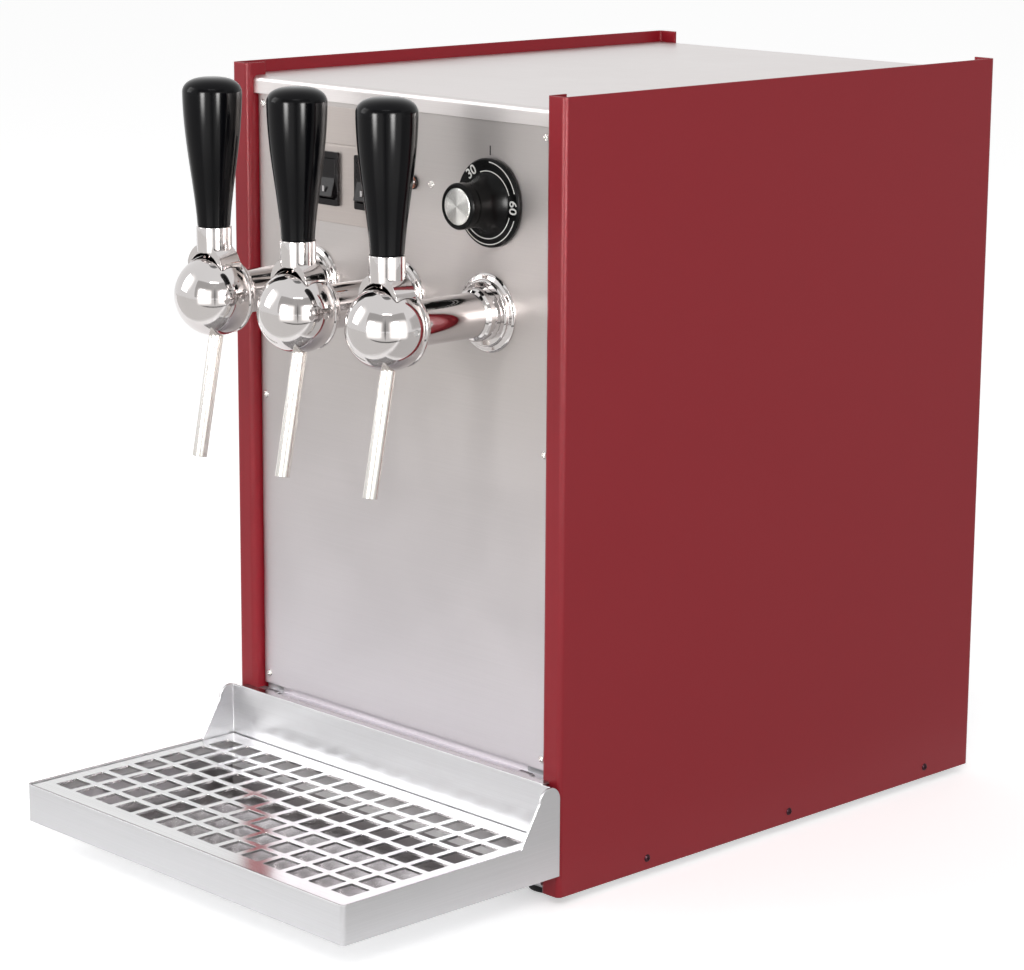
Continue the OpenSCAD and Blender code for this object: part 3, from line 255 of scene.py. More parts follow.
def worn_edge_group():
    """Rounds the normals at folds and cut edges, and gives a broken mask along them."""
    group, takes, gives = new_group("worn_edge", [("Radius", 0.0006), ("Scale", 90.0)],
        [("Normal", "NodeSocketVector"), ("Wear", "NodeSocketFloat")])
    rounded = add(group, "ShaderNodeBevel", {"Radius": takes.outputs["Radius"]}, samples=4)
    true = add(group, "ShaderNodeNewGeometry")
    turned_away = add(group, "ShaderNodeVectorMath",
        {0: rounded.outputs[0], 1: true.outputs["Normal"]}, operation="DOT_PRODUCT")
    edge = add(group, "ShaderNodeMapRange", {0: turned_away.outputs["Value"],
        "From Min": 0.995, "From Max": 0.90, "To Min": 0.0, "To Max": 1.0})
    where = add(group, "ShaderNodeTexCoord")
    patchy = add(group, "ShaderNodeTexNoise",
        {"Vector": where.outputs["Object"], "Scale": takes.outputs["Scale"], "Detail": 5.0})
    broken = add(group, "ShaderNodeMapRange", {0: patchy.outputs["Fac"],
        "From Min": 0.42, "From Max": 0.62, "To Min": 0.15, "To Max": 1.0})
    wear = add(group, "ShaderNodeMath", {0: edge.outputs[0], 1: broken.outputs[0]},
        operation="MULTIPLY")
    group.links.new(rounded.outputs[0], gives.inputs["Normal"])
    group.links.new(wear.outputs[0], gives.inputs["Wear"])
    return group


def surface_grain_group():
    """Fine even unevenness: the orange peel of a coat or the grain of a moulding."""
    group, takes, gives = new_group("surface_grain", [("Scale", 700.0), ("Clouds", 12.0)],
        [("Height", "NodeSocketFloat"), ("Cloud", "NodeSocketFloat")])
    where = add(group, "ShaderNodeTexCoord")
    fine = add(group, "ShaderNodeTexNoise", {"Vector": where.outputs["Object"],
        "Scale": takes.outputs["Scale"], "Detail": 3.0, "Roughness": 0.55})
    broad = add(group, "ShaderNodeTexNoise", {"Vector": where.outputs["Object"],
        "Scale": takes.outputs["Clouds"], "Detail": 3.0})
    group.links.new(fine.outputs["Fac"], gives.inputs["Height"])
    group.links.new(broad.outputs["Fac"], gives.inputs["Cloud"])
    return group


worn_edge = worn_edge_group()
surface_grain = surface_grain_group()


def place_group(made, group, **values):
    return add(made.node_tree, "ShaderNodeGroup", values, node_tree=group)


def shift(made, varies, low, high):
    """A number that goes from low to high with a mask or texture that goes from 0 to 1."""
    return add(made.node_tree, "ShaderNodeMapRange",
        {0: varies, "To Min": low, "To Max": high}).outputs[0]


def blend_tones(made, varies, first, second, blend="MIX"):
    """One colour over another, by a mask from 0 to 1. Each is a tone or the output of a node."""
    return add(made.node_tree, "ShaderNodeMix", {0: varies, 6: first, 7: second},
        data_type="RGBA", blend_type=blend).outputs[2]


def along(made, axis):
    """How far along an axis a point lies, in metres, in the frame that all pieces share."""
    where = add(made.node_tree, "ShaderNodeTexCoord")
    return add(made.node_tree, "ShaderNodeSeparateXYZ", {0: where.outputs["Object"]}).outputs[axis]


def feed(made, **sockets):
    """Links outputs into the material's shader."""
    shader = made.node_tree.nodes["Principled BSDF"]
    for socket, output in sockets.items():
        made.node_tree.links.new(output, shader.inputs[socket.replace("_", " ")])


def relief(made, height, depth, normal=None, strength=1.0):
    """The normal of a surface with relief on it, from a height of 0 to 1 and its depth in metres."""
    bump = add(made.node_tree, "ShaderNodeBump",
        {"Strength": strength, "Distance": depth, "Height": height})
    if normal is not None:
        made.node_tree.links.new(normal, bump.inputs["Normal"])
    return bump.outputs[0]


def moulded(name, colour, roughness, scale=900.0, depth=0.00002, pale=1.25, edge=0.0003, **more):
    """A coat or moulding: fine grain, slightly uneven gloss, and paler along its edges."""
    made = finish(name, colour, 0.0, roughness, **more)
    grain = place_group(made, surface_grain, Scale=scale)
    edges = place_group(made, worn_edge, Radius=edge)
    lighter = [min(1, c * pale + 0.004) for c in colour[:3]] + [1]
    feed(made, Base_Color=blend_tones(made, edges.outputs["Wear"], colour, lighter),
        Roughness=shift(made, grain.outputs["Cloud"], roughness * 0.8, roughness * 1.2),
        Normal=relief(made, grain.outputs["Height"], depth, edges.outputs["Normal"]))
    return made


def dress(made, *nodes):
    for node in nodes:
        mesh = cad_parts[node].data
        mesh.materials.clear()
        mesh.materials.append(made)


red_paint = moulded("red_paint", tone(144, 22, 35), 0.36, scale=650.0, depth=0.000035, pale=1.35,
    edge=0.0012, Specular_IOR_Level=0.28)
dress(red_paint, "left_side_panel", "right_side_panel")


# Base pan, uprights and their like inside. Zinc plated steel, folded, with the soft mottle of a
# passivated coat. The uprights stand on the pan and carry the front panel's edge screws.
def mottled_zinc():
    made = finish("zinc_plate", tone(158, 161, 165), 1.0, 0.38)
    grain = place_group(made, surface_grain, Scale=160.0, Clouds=45.0)
    edges = place_group(made, worn_edge, Radius=0.0005)
    feed(made, Base_Color=blend_tones(made, grain.outputs["Cloud"], tone(138, 142, 148),
            tone(186, 186, 184)),
        Roughness=shift(made, grain.outputs["Height"], 0.28, 0.5), Normal=edges.outputs["Normal"])
    return made


dress(mottled_zinc(), "base_pan", "front_uprights", "foot_screws", "heating_elements",
    "thermostat", "thermostat_spindle")


# Feet. Moulded black rubber with a counterbore, each held by one screw through the pan. The
# rubber is dull and dusty, and paler along its edges, which rub on the table.
dress(moulded("foot_rubber", tone(30, 29, 30), 0.72, scale=1200.0, depth=0.00006, pale=1.9,
    edge=0.0008, Specular_IOR_Level=0.3), "rubber_feet")


# Stainless covers: top cover, front panel, back panel and sill. Thin sheet with a satin grain
# along its length. The sheet isn't quite flat, so what it mirrors swims a little.
def satin_grain_group():
    """Long fine scratches along X, or along Y on what faces sideways, and the sheet's slow waves."""
    group, takes, gives = new_group("satin_grain", [("Length", 9.0), ("Fineness", 1500.0),
        ("Waves", 5.0)], [("Scratch", "NodeSocketFloat"), ("Wave", "NodeSocketFloat"),
        ("Smudge", "NodeSocketFloat")])
    where = add(group, "ShaderNodeTexCoord").outputs["Object"]

    def scratches(along):
        stretch = add(group, "ShaderNodeCombineXYZ", {axis: takes.outputs[
            "Length" if axis == along else "Fineness"] for axis in range(3)})
        run = add(group, "ShaderNodeVectorMath", {0: where, 1: stretch.outputs[0]},
            operation="MULTIPLY")
        return add(group, "ShaderNodeTexNoise", {"Vector": run.outputs[0], "Scale": 1.0,
            "Detail": 4.0, "Roughness": 0.6}).outputs["Fac"]

    facing = add(group, "ShaderNodeSeparateXYZ",
        {0: add(group, "ShaderNodeNewGeometry").outputs["Normal"]})
    steep = add(group, "ShaderNodeMath", {0: facing.outputs["X"]}, operation="ABSOLUTE")
    sideways = add(group, "ShaderNodeMath", {0: steep.outputs[0], 1: 0.7},
        operation="GREATER_THAN")
    scratch = add(group, "ShaderNodeMix", {0: sideways.outputs[0], 2: scratches(0),
        3: scratches(1)}, data_type="FLOAT")
    wave = add(group, "ShaderNodeTexNoise",
        {"Vector": where, "Scale": takes.outputs["Waves"], "Detail": 1.0})
    smudge = add(group, "ShaderNodeTexNoise", {"Vector": where, "Scale": 17.0, "Detail": 6.0,
        "Roughness": 0.62})
    group.links.new(scratch.outputs[0], gives.inputs["Scratch"])
    group.links.new(wave.outputs["Fac"], gives.inputs["Wave"])
    group.links.new(smudge.outputs["Fac"], gives.inputs["Smudge"])
    return group


satin_grain = satin_grain_group()


def painted_shade_upwards(made, colour, top_shade):
    """Painted shade: the colour multiplied by a tint that grows from none below to full higher up."""
    none_below, full_above = 0.05, 0.30
    rise = add(made.node_tree, "ShaderNodeMapRange", {0: along(made, "Z"),
        "From Min": none_below, "From Max": full_above})
    tint = blend_tones(made, rise.outputs[0], tone(255, 255, 255), top_shade)
    return blend_tones(made, 1.0, colour, tint, "MULTIPLY")


def satin_steel(name, dark, pale, roughness, waves=5.0, swim=0.0012, fineness=2200.0, edge=0.0006,
        scratch=0.000003, top_shade=None):
    made = finish(name, pale, 1.0, roughness)
    grain = place_group(made, satin_grain, Waves=waves, Fineness=fineness)
    edges = place_group(made, worn_edge, Radius=edge)
    rolling = relief(made, grain.outputs["Wave"], swim, edges.outputs["Normal"], 0.6)
    streaks = blend_tones(made, grain.outputs["Scratch"], dark, pale)
    # painted shade: when a top tone is given, the colour is darkened higher up
    if top_shade:
        streaks = painted_shade_upwards(made, streaks, top_shade)
    feed(made, Base_Color=streaks, Normal=relief(made, grain.outputs["Scratch"], scratch, rolling),
        Roughness=shift(made, grain.outputs["Smudge"], roughness * 0.75, roughness * 1.3))
    return made


# the front and back panels and the sill carry a painted shade, darker higher up
dress(satin_steel("panel_steel", tone(193, 189, 194), tone(204, 200, 205), 0.39, swim=0.0018,
    fineness=2600.0, top_shade=tone(228, 226, 218)), "front_panel", "back_panel", "front_sill")
dress(satin_steel("cover_steel", tone(206, 201, 200), tone(217, 212, 211), 0.38), "top_cover")


# Screws of the panels. Pan heads with a cross recess, bright nickel in front and behind, and
# dark plated along the side panels' lower edges.
def turned_metal(name, colour, roughness, edge=0.0003):
    """Machined or plated metal: a little dust and handling in the gloss, and soft edges."""
    made = finish(name, colour, 1.0, roughness)
    grain = place_group(made, surface_grain, Scale=300.0, Clouds=28.0)
    edges = place_group(made, worn_edge, Radius=edge)
    feed(made, Roughness=shift(made, grain.outputs["Cloud"], roughness * 0.6, roughness * 1.5),
        Normal=relief(made, grain.outputs["Height"], 0.000002, edges.outputs["Normal"]),
        Base_Color=blend_tones(made, grain.outputs["Cloud"], [c * 0.9 for c in colour[:3]] + [1],
            colour))
    return made


dress(turned_metal("nickel_screws", tone(224, 221, 218), 0.16), "front_screws", "back_screws")
dress(turned_metal("dark_screws", tone(62, 40, 46), 0.38), "side_screws")


# Back fittings: brass drain cock, gland of black nylon, chromed hose spigots. Inside: the water
# bath of plain mill stainless in pressed felt, its coils, and the ceramic terminal block.
dress(satin_steel("mill_steel", tone(165, 165, 164), tone(203, 202, 200), 0.42, swim=0.0006),
    "water_tank", "tank_lid", "product_coil_1", "product_coil_2", "product_coil_3")
dress(turned_metal("turned_brass", tone(200, 166, 98), 0.26), "drain_cock")
dress(turned_metal("copper_tube", tone(196, 126, 88), 0.34), "thermostat_probe")
dress(moulded("glazed_ceramic", tone(222, 216, 202), 0.42, scale=500.0), "terminal_block",
    "safety_cutout")
dress(moulded("pressed_felt", tone(205, 194, 168), 0.95, scale=420.0, depth=0.0012, pale=1.05),
    "tank_jacket")
dress(moulded("black_nylon", tone(30, 29, 31), 0.45), "cable_gland")


# Control plate and rocker switches. A pale satin foil plate, left bare, is stuck to the panel.
# The two rockers are black nylon in snap-in frames, each with a pale stroke on its lower half.
dress(satin_steel("plate_foil", tone(166, 158, 154), tone(177, 169, 165), 0.40, swim=0.0002),
    "control_plate")
rocker_black = moulded("rocker_black", tone(21, 17, 19), 0.28, scale=1400.0, depth=0.00001,
    pale=2.2, edge=0.0006, Specular_IOR_Level=0.18)
dress(rocker_black, "switch_frames", "rocker_left", "rocker_right", "lamp_bezel")


def plain_piece(name, build, made, body, smooth=35):
    """A finished piece from a bmesh: outward faces, smooth up to an angle, on its body."""
    bmesh.ops.remove_doubles(build, verts=build.verts, dist=1e-7)
    bmesh.ops.recalc_face_normals(build, faces=build.faces)
    mesh = bpy.data.meshes.new(name)
    build.to_mesh(mesh)
    build.free()
    mesh.materials.append(made)
    mesh.shade_smooth()
    mesh.set_sharp_from_angle(angle=math.radians(smooth))
    piece = bpy.data.objects.new(name, mesh)
    bpy.context.scene.collection.objects.link(piece)
    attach(piece, body)
    return piece


def middle_of(node):
    low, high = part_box(node)
    return (Vector(low) + Vector(high)) / 2


def add_block(build, low, high):
    """A box between two corners, in metres."""
    size, middle = high - low, (low + high) / 2
    bmesh.ops.create_cube(build, size=1,
        matrix=Matrix.Translation(middle) @ Matrix.Diagonal(size).to_4x4())


PRINT = 0.00012
MARK_HALF, MARK_LOW, MARK_HIGH = 0.0008, -0.0075, -0.0042
grey_print = moulded("grey_print", tone(206, 202, 202), 0.4, scale=1500.0, depth=0.000003,
    pale=1.0)
for side in ("left", "right"):
    low, high = (Vector(v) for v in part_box("rocker_" + side))
    build = bmesh.new()
    face = low.y - PRINT
    add_block(build, Vector((-MARK_HALF, face, MARK_LOW)),
        Vector((MARK_HALF, face + 2 * PRINT, MARK_HIGH)))
    mark_at = Vector(((low.x + high.x) / 2, 0, (low.z + high.z) / 2))
    bmesh.ops.translate(build, verts=build.verts, vec=mark_at)
    plain_piece("rocker_mark_" + side, build, grey_print, "rocker_" + side)


# Pilot lamp. A small amber lens, unlit and nearly brown, snapped over the front of its black bezel.
# The lens is moulded with a domed front, and its right side is painted dark, a painted shade.
def softened(outline, radius, steps=4):
    """An outline with each of its corners turned into a small arc."""
    points = [Vector(p) for p in outline]
    soft = [points[0]]
    for before, corner, after in zip(points, points[1:], points[2:]):
        back, on = before - corner, after - corner
        bend = back.angle(on, math.pi)
        reach = min(radius / max(math.tan(bend / 2), 1e-3), back.length * 0.45, on.length * 0.45)
        if math.pi - bend < math.radians(12):
            soft.append(corner)
            continue
        start, end = corner + back.normalized() * reach, corner + on.normalized() * reach
        for k in range(steps + 1):
            t = k / steps
            soft.append(start * (1 - t) ** 2 + corner * 2 * t * (1 - t) + end * t * t)
    return soft + [points[-1]]


def turn_on_lathe(build, outline, centre, axis, steps=96):
    """Turns an outline, as radius and height in millimetres, round an axis through a point."""
    upright = Vector((0, 0, 1)).rotation_difference(Vector(axis))
    rings = []
    for radius, height in outline:
        count = 1 if radius < 1e-6 else steps
        rings.append([build.verts.new(centre + upright @ (Vector((
            radius * math.cos(math.tau * k / steps), radius * math.sin(math.tau * k / steps),
            height)) * MM)) for k in range(count)])
    for a, b in zip(rings, rings[1:]):
        for k in range(steps):
            m = (k + 1) % steps
            corners = [a[k % len(a)], a[m % len(a)], b[m % len(b)], b[k % len(b)]]
            kept = list(dict.fromkeys(corners))
            if len(kept) > 2:
                build.faces.new(kept)


def turned_piece(name, outline, centre, axis, made, body, steps=96):
    build = bmesh.new()
    turn_on_lathe(build, outline, centre, axis, steps)
    return plain_piece(name, build, made, body)


def amber_lens_painted_shade():
    made = finish("amber_lens_painted_shade", tone(128, 48, 18), 0.0, 0.12, Coat_Weight=0.6)
    middle, amber_to, painted_shade_from = middle_of("lamp_lens"), 0.0026, 0.0041
    across = add(made.node_tree, "ShaderNodeMapRange", {0: along(made, "X"),
        "From Min": middle.x + amber_to, "From Max": middle.x + painted_shade_from})
    # painted shade: the lens colour runs from amber to near black towards its right side
    feed(made, Base_Color=blend_tones(made, across.outputs[0], tone(170, 88, 42),
        tone(26, 10, 9)))
    return made


FORWARDS = (0, -1, 0)
lens_at = middle_of("lamp_lens")
lens_at.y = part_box("lamp_bezel")[0][1]
lens = turned_piece("lamp_dome", softened([(0, -4), (3.1, -4), (3.1, 0), (3.95, 0), (4.0, 0.9),
    (3.5, 1.7), (2.0, 2.3), (0, 2.5)], 0.5), lens_at, FORWARDS, amber_lens_painted_shade(), "cabinet",
    64)
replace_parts(lens, "lamp_lens")


# Thermostat knob. Turned in one outline: scale disc, hollow skirt and barrel of gloss black
# moulding, with a spun aluminium disc let into its front. It is pushed on the spindle.
PANEL = 6.5
KNOB_X, KNOB_Z, KNOB_GAP, KNOB_REACH = 78.5, 395.5, 0.8, 26.5
KNOB = place(KNOB_X, PANEL - KNOB_GAP, KNOB_Z)
DISC_R, DISC_T, BARREL_R, RECESS_R, RECESS = 25.3, 2.6, 13.2, 10.45, 1.2
SKIRT_R, SKIRT, SKIRT_STEPS = 4.4, 13, 14
tall, waist = KNOB_REACH - KNOB_GAP, BARREL_R - 0.4
skirt = [(waist + SKIRT_R * (1 - k / SKIRT_STEPS) ** 2.2, DISC_T + SKIRT * k / SKIRT_STEPS)
    for k in range(SKIRT_STEPS + 1)]
knob_outline = softened([(0, 0.05), (DISC_R - 0.6, 0.05), (DISC_R, 0.6), (DISC_R, DISC_T - 0.8),
    (DISC_R - 0.8, DISC_T)] + skirt + [(waist, tall - 7), (BARREL_R, tall - 5.5),
    (BARREL_R, tall - 1), (BARREL_R - 0.8, tall), (RECESS_R, tall), (RECESS_R, tall - RECESS),
    (0, tall - RECESS)], 0.35)
knob_black = moulded("knob_black", tone(10, 10, 10), 0.24, scale=1600.0, depth=0.000006, pale=2.0,
    Specular_IOR_Level=0.12)
knob = turned_piece("knob_body", knob_outline, KNOB, FORWARDS, knob_black, "thermostat_knob",
    128)
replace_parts(knob, "control_knob")


FANS = 3.0


def spun_aluminium_painted_fans():
    """Turning marks round the middle of the disc, which fan out what it mirrors; the light and dark
    wedges in its colour are a painted highlight and painted shade of these fans.
    """
    made = finish("spun_aluminium_painted_fans", tone(216, 215, 212), 1.0, 0.26, Anisotropic=0.9)
    where = add(made.node_tree, "ShaderNodeTexCoord")
    centred = add(made.node_tree, "ShaderNodeMapping", {"Vector": where.outputs["Object"],
        "Location": -middle_of("knob_insert")})
    rings = add(made.node_tree, "ShaderNodeTexWave", {"Vector": centred.outputs[0],
        "Scale": 900.0, "Distortion": 0.6, "Detail": 2.0}, wave_type="RINGS",
        rings_direction="Y")
    at = add(made.node_tree, "ShaderNodeSeparateXYZ", {0: centred.outputs[0]})
    angle = add(made.node_tree, "ShaderNodeMath", {0: at.outputs["X"], 1: at.outputs["Z"]},
        operation="ARCTAN2")
    fans = add(made.node_tree, "ShaderNodeMath", {0: angle.outputs[0], 1: FANS},
        operation="MULTIPLY")
    fan = add(made.node_tree, "ShaderNodeMath", {0: fans.outputs[0]}, operation="SINE")
    # painted highlight and painted shade: light and dark wedges round the middle, put into the disc's
    # colour
    uneven = add(made.node_tree, "ShaderNodeMapRange", {0: fan.outputs[0], "From Min": -0.8,
        "From Max": 0.8}, interpolation_type="SMOOTHSTEP")
    round_it = add(made.node_tree, "ShaderNodeTangent", direction_type="RADIAL", axis="Y")
    feed(made, Normal=relief(made, rings.outputs["Fac"], 0.000012),
        Base_Color=blend_tones(made, uneven.outputs[0], tone(184, 183, 180), tone(238, 237, 234)),
        Roughness=shift(made, rings.outputs["Fac"], 0.20, 0.32), Tangent=round_it.outputs[0])
    return made


insert = turned_piece("knob_disc", softened([(0, -1.1), (10.4, -1.1), (10.4, -0.2), (9.8, 0.1),
    (5.2, 0.35), (0, 0.45)], 0.15), place(KNOB_X, PANEL - KNOB_REACH, KNOB_Z), FORWARDS,
    spun_aluminium_painted_fans(), "thermostat_knob")
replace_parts(insert, "knob_insert")


# Scale on the knob. Two thin white rings are printed on the disc, broken where the figures
# stand, and a black stroke on the panel above it shows the setting.
def clockwise(angle):
    """The direction at an angle in degrees from the top, as seen from the front."""
    return Vector((math.sin(math.radians(angle)), 0, math.cos(math.radians(angle))))


def add_arc(build, centre, radius, start, end, grow=0.0):
    """A flat printed arc from one angle to another, whose radius may grow on the way."""
    steps = max(4, int(abs(end - start) / 3))
    inner, outer = [], []
    for k in range(steps + 1):
        way, at = clockwise(start + (end - start) * k / steps), radius + grow * k / steps
        inner.append(build.verts.new(centre + way * (at - RING_LINE / 2) * MM))
        outer.append(build.verts.new(centre + way * (at + RING_LINE / 2) * MM))
    for k in range(steps):
        build.faces.new([inner[k], inner[k + 1], outer[k + 1], outer[k]])


def thickened(build, depth):
    """Gives flat print a thickness towards the back."""
    grown = bmesh.ops.extrude_face_region(build, geom=build.faces[:])
    moved = [v for v in grown["geom"] if isinstance(v, bmesh.types.BMVert)]
    bmesh.ops.translate(build, verts=moved, vec=Vector((0, depth, 0)))


def add_figures(build, text, centre, turn):
    """Figures that stand upright on a radius, at an angle clockwise from the top."""
    curve = bpy.data.curves.new("figures", "FONT")
    curve.body, curve.size = text, FIGURE_SIZE * MM
    curve.align_x, curve.align_y = "CENTER", "CENTER"
    curve.resolution_u, curve.offset = 3, PRINT
    typed = bpy.data.objects.new("figures", curve)
    bpy.context.scene.collection.objects.link(typed)
    bpy.context.view_layer.update()
    flat = bpy.data.meshes.new_from_object(typed)
    flat.transform(Matrix.Translation(centre + clockwise(turn) * FIGURE_R * MM)
        @ Matrix.Rotation(math.radians(turn), 4, "Y") @ Matrix.Rotation(math.pi / 2, 4, "X"))
    build.from_mesh(flat)
    bpy.data.objects.remove(typed)
    bpy.data.meshes.remove(flat)


OUTER_RING_R, OUTER_RING_FROM, RING_LINE, FIGURE_R, FIGURE_SIZE = 23.4, 4, 0.6, 20.9, 8.2
LIFT = 0.08
white_print = moulded("white_print", tone(232, 230, 226), 0.4, scale=1500.0, depth=0.000003,
    pale=1.0)
disc_face = KNOB - Vector((0, DISC_T + LIFT, 0)) * MM
build = bmesh.new()
for start, end, inside, grow in ((-18, 72, 18.0, 0.9), (110, 246, 19.4, 1.5)):
    add_arc(build, disc_face, OUTER_RING_R, max(start, OUTER_RING_FROM), end)
    add_arc(build, disc_face, inside, start, end, grow)
for figure, turn in (("30", 322), ("60", 92), ("90", 266)):
    add_figures(build, figure, disc_face, turn)
thickened(build, PRINT)
plain_piece("knob_scale", build, white_print, "thermostat_knob", 20)

MARK_X, MARK_SUNK = KNOB_X - 1.4, 0.02
build = bmesh.new()
add_block(build, place(MARK_X, PANEL - LIFT, 422.2), place(MARK_X + 0.8, PANEL + MARK_SUNK, 427.6))
plain_piece("setting_mark", build, rocker_black, "cabinet")


# Taps: shank and rosette. Turned brass, chromed. The shank goes through the panel, its collar
# draws the rosette against the sheet, and its front end is a ring on which the ball is screwed.
def polished_chrome():
    made = finish("polished_chrome", tone(214, 211, 210), 1.0, 0.05)
    grain = place_group(made, surface_grain, Scale=55.0, Clouds=30.0)
    edges = place_group(made, worn_edge, Radius=0.0004)
    feed(made, Roughness=shift(made, grain.outputs["Cloud"], 0.03, 0.10),
        Base_Color=blend_tones(made, grain.outputs["Cloud"], tone(200, 196, 195),
            tone(216, 212, 211)),
        Normal=relief(made, grain.outputs["Height"], 0.00005, edges.outputs["Normal"], 0.5))
    return made


chrome = polished_chrome()
dress(chrome, "inlet_spigots", "shank_nuts")
PITCH, REACH, TAP_HEIGHT = 76, 76.3, 332.3
BALL = 24
RING = BALL * 0.3125
SHANK_R, COLLAR, ROSETTE, TAIL_R, TAIL = 13, 7.5, 4.2, 10.5, 36.2
taps = {i: place((i - 2) * PITCH, PANEL - REACH, TAP_HEIGHT) for i in (1, 2, 3)}
BACKWARDS = (0, 1, 0)


def ball_arc(first, last, steps, radius=BALL):
    """Points of the ball's outline between two angles from its back pole."""
    return [(radius * math.sin(a), radius * math.cos(a)) for a in
        (math.radians(first + (last - first) * k / steps) for k in range(steps + 1))]


ring_r = math.sqrt(BALL * BALL - RING * RING) + 0.3
rosette_y, collar_y = REACH - ROSETTE, REACH - ROSETTE - COLLAR
shank_outline = softened([(0, RING + 0.05), (ring_r - 1.2, RING + 0.05), (ring_r, RING + 1.2),
    (ring_r, RING + 2.4), (ring_r - 1.2, RING + 3.6)], 0.5) + ball_arc(62.4, 33, 16) \
    + softened([(SHANK_R, collar_y - 2), (SHANK_R + 1.5, collar_y - 1),
    (SHANK_R + 2.5, collar_y + 0.5), (SHANK_R + 2.5, rosette_y), (TAIL_R, rosette_y)], 0.6) \
    + [(TAIL_R, REACH + TAIL), (0, REACH + TAIL)]
rosette_outline = softened([(TAIL_R + 0.1, rosette_y), (18.4, rosette_y), (19.2, REACH - 3.4),
    (19.5, REACH - 2.2), (21.8, REACH - 1.8), (23, REACH - 0.8), (23, REACH),
    (TAIL_R + 0.1, REACH)], 0.5)
build = bmesh.new()
for i, ball in taps.items():
    shank = turned_piece(f"shank_{i}", shank_outline, ball, BACKWARDS, chrome, "cabinet")
    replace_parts(shank, f"tap_shank_{i}")
    turn_on_lathe(build, rosette_outline + [rosette_outline[0]], ball, BACKWARDS)
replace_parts(plain_piece("rosettes", build, chrome, "cabinet"), "tap_rosettes")


# Taps: balls. Each is a chromed ball, cut flat where it meets the ring. It is slotted on top
# for the lever's tongue, drilled for the spout, and bored from the left for the plug.
def keep_shape(piece, smooth=35):
    """Applies a piece's modifiers to its mesh."""
    bpy.context.view_layer.update()
    shaped = bpy.data.meshes.new_from_object(piece.evaluated_get(
        bpy.context.evaluated_depsgraph_get()))
    piece.modifiers.clear()
    old, piece.data = piece.data, shaped
    shaped.name = piece.name
    bpy.data.meshes.remove(old)
    shaped.shade_smooth()
    shaped.set_sharp_from_angle(angle=math.radians(smooth))


def combined(piece, operation, build):
    """Takes closed shapes out of a piece, or joins or crosses it with one. Uses up the bmesh."""
    tool = bpy.data.objects.new("tool", bpy.data.meshes.new("tool"))
    bmesh.ops.recalc_face_normals(build, faces=build.faces)
    build.to_mesh(tool.data)
    build.free()
    bpy.context.scene.collection.objects.link(tool)
    joint = piece.modifiers.new("joint", "BOOLEAN")
    joint.operation, joint.solver, joint.object = operation, "EXACT", tool
    keep_shape(piece)
    bpy.data.objects.remove(tool)


def bore(radius, start, end):
    """The outline of a drill or a round bar, for the lathe."""
    return [(0, start), (radius, start), (radius, end), (0, end)]


def slab(build, centre, half, corners):
    """A flat shape, given as Y and Z in millimetres, made thick along X."""
    ends = [[build.verts.new(centre + Vector((x, y, z)) * MM) for y, z in corners]
        for x in (-half, half)]
    build.faces.new(ends[0][::-1])
    build.faces.new(ends[1])
    for k in range(len(corners)):
        m = (k + 1) % len(corners)
        build.faces.new([ends[0][k], ends[0][m], ends[1][m], ends[1][k]])


def beside(lean, aside, along):
    """Y and Z of a point beside and along a line from the ball's middle that leans forward."""
    lean = math.radians(lean)
    return (-aside * math.cos(lean) - along * math.sin(lean),
        along * math.cos(lean) - aside * math.sin(lean))


TRAVEL, LEAN, TONGUE = 25, 12, 2.0
PLUG_R, PIN_R, SPOUT_R, PLAY = 6.6, 1.8, 4.3, 0.1
SPOUT_LEAN = math.radians(11)
SPOUT_SEAT = BALL * 0.74
spout_y = 0.4 + (BALL - SPOUT_SEAT) * math.tan(SPOUT_LEAN)
spout_way = Vector((0, -math.sin(SPOUT_LEAN), -math.cos(SPOUT_LEAN)))
RIGHT, LEFT = (1, 0, 0), (-1, 0, 0)
ball_outline = ball_arc(180, math.degrees(math.acos((RING - 0.05) / BALL)) + 1.2, 60) \
    + softened([(ring_r - 0.55, RING - 0.45), (ring_r - 0.8, RING - 0.05), (0, RING - 0.05)], 0.2)
wide = TONGUE + 0.3
slot_outline = [beside(-LEAN, -wide, 4), beside(-LEAN, -wide, 29), beside(TRAVEL / 2 - LEAN, 0, 32),
    beside(TRAVEL - LEAN, wide, 29), beside(TRAVEL - LEAN, wide, 4)]
for i, centre in taps.items():
    ball = turned_piece(f"ball_{i}", ball_outline, centre, BACKWARDS, chrome, "cabinet",
        128)
    cutter = bmesh.new()
    slab(cutter, centre, wide, slot_outline)
    turn_on_lathe(cutter, bore(SPOUT_R + PLAY, 0, 12),
        centre + Vector((0, spout_y, -SPOUT_SEAT)) * MM, spout_way, 48)
    turn_on_lathe(cutter, bore(PIN_R + PLAY, 18, BALL + 2), centre, RIGHT, 32)
    turn_on_lathe(cutter, bore(PLUG_R + PLAY, 16, BALL + 2), centre, LEFT, 64)
    combined(ball, "DIFFERENCE", cutter)
    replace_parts(ball, f"tap_ball_{i}")

cap_edge = math.degrees(math.asin(PLUG_R / BALL))
cap_outline = softened([(0, 15.2), (PLUG_R, 15.2)] + ball_arc(cap_edge, 0, 8), 0.12)
build = bmesh.new()
for centre in taps.values():
    turn_on_lathe(build, cap_outline, centre, LEFT, 64)
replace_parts(plain_piece("bore_caps", build, chrome, "cabinet"), "valve_caps")


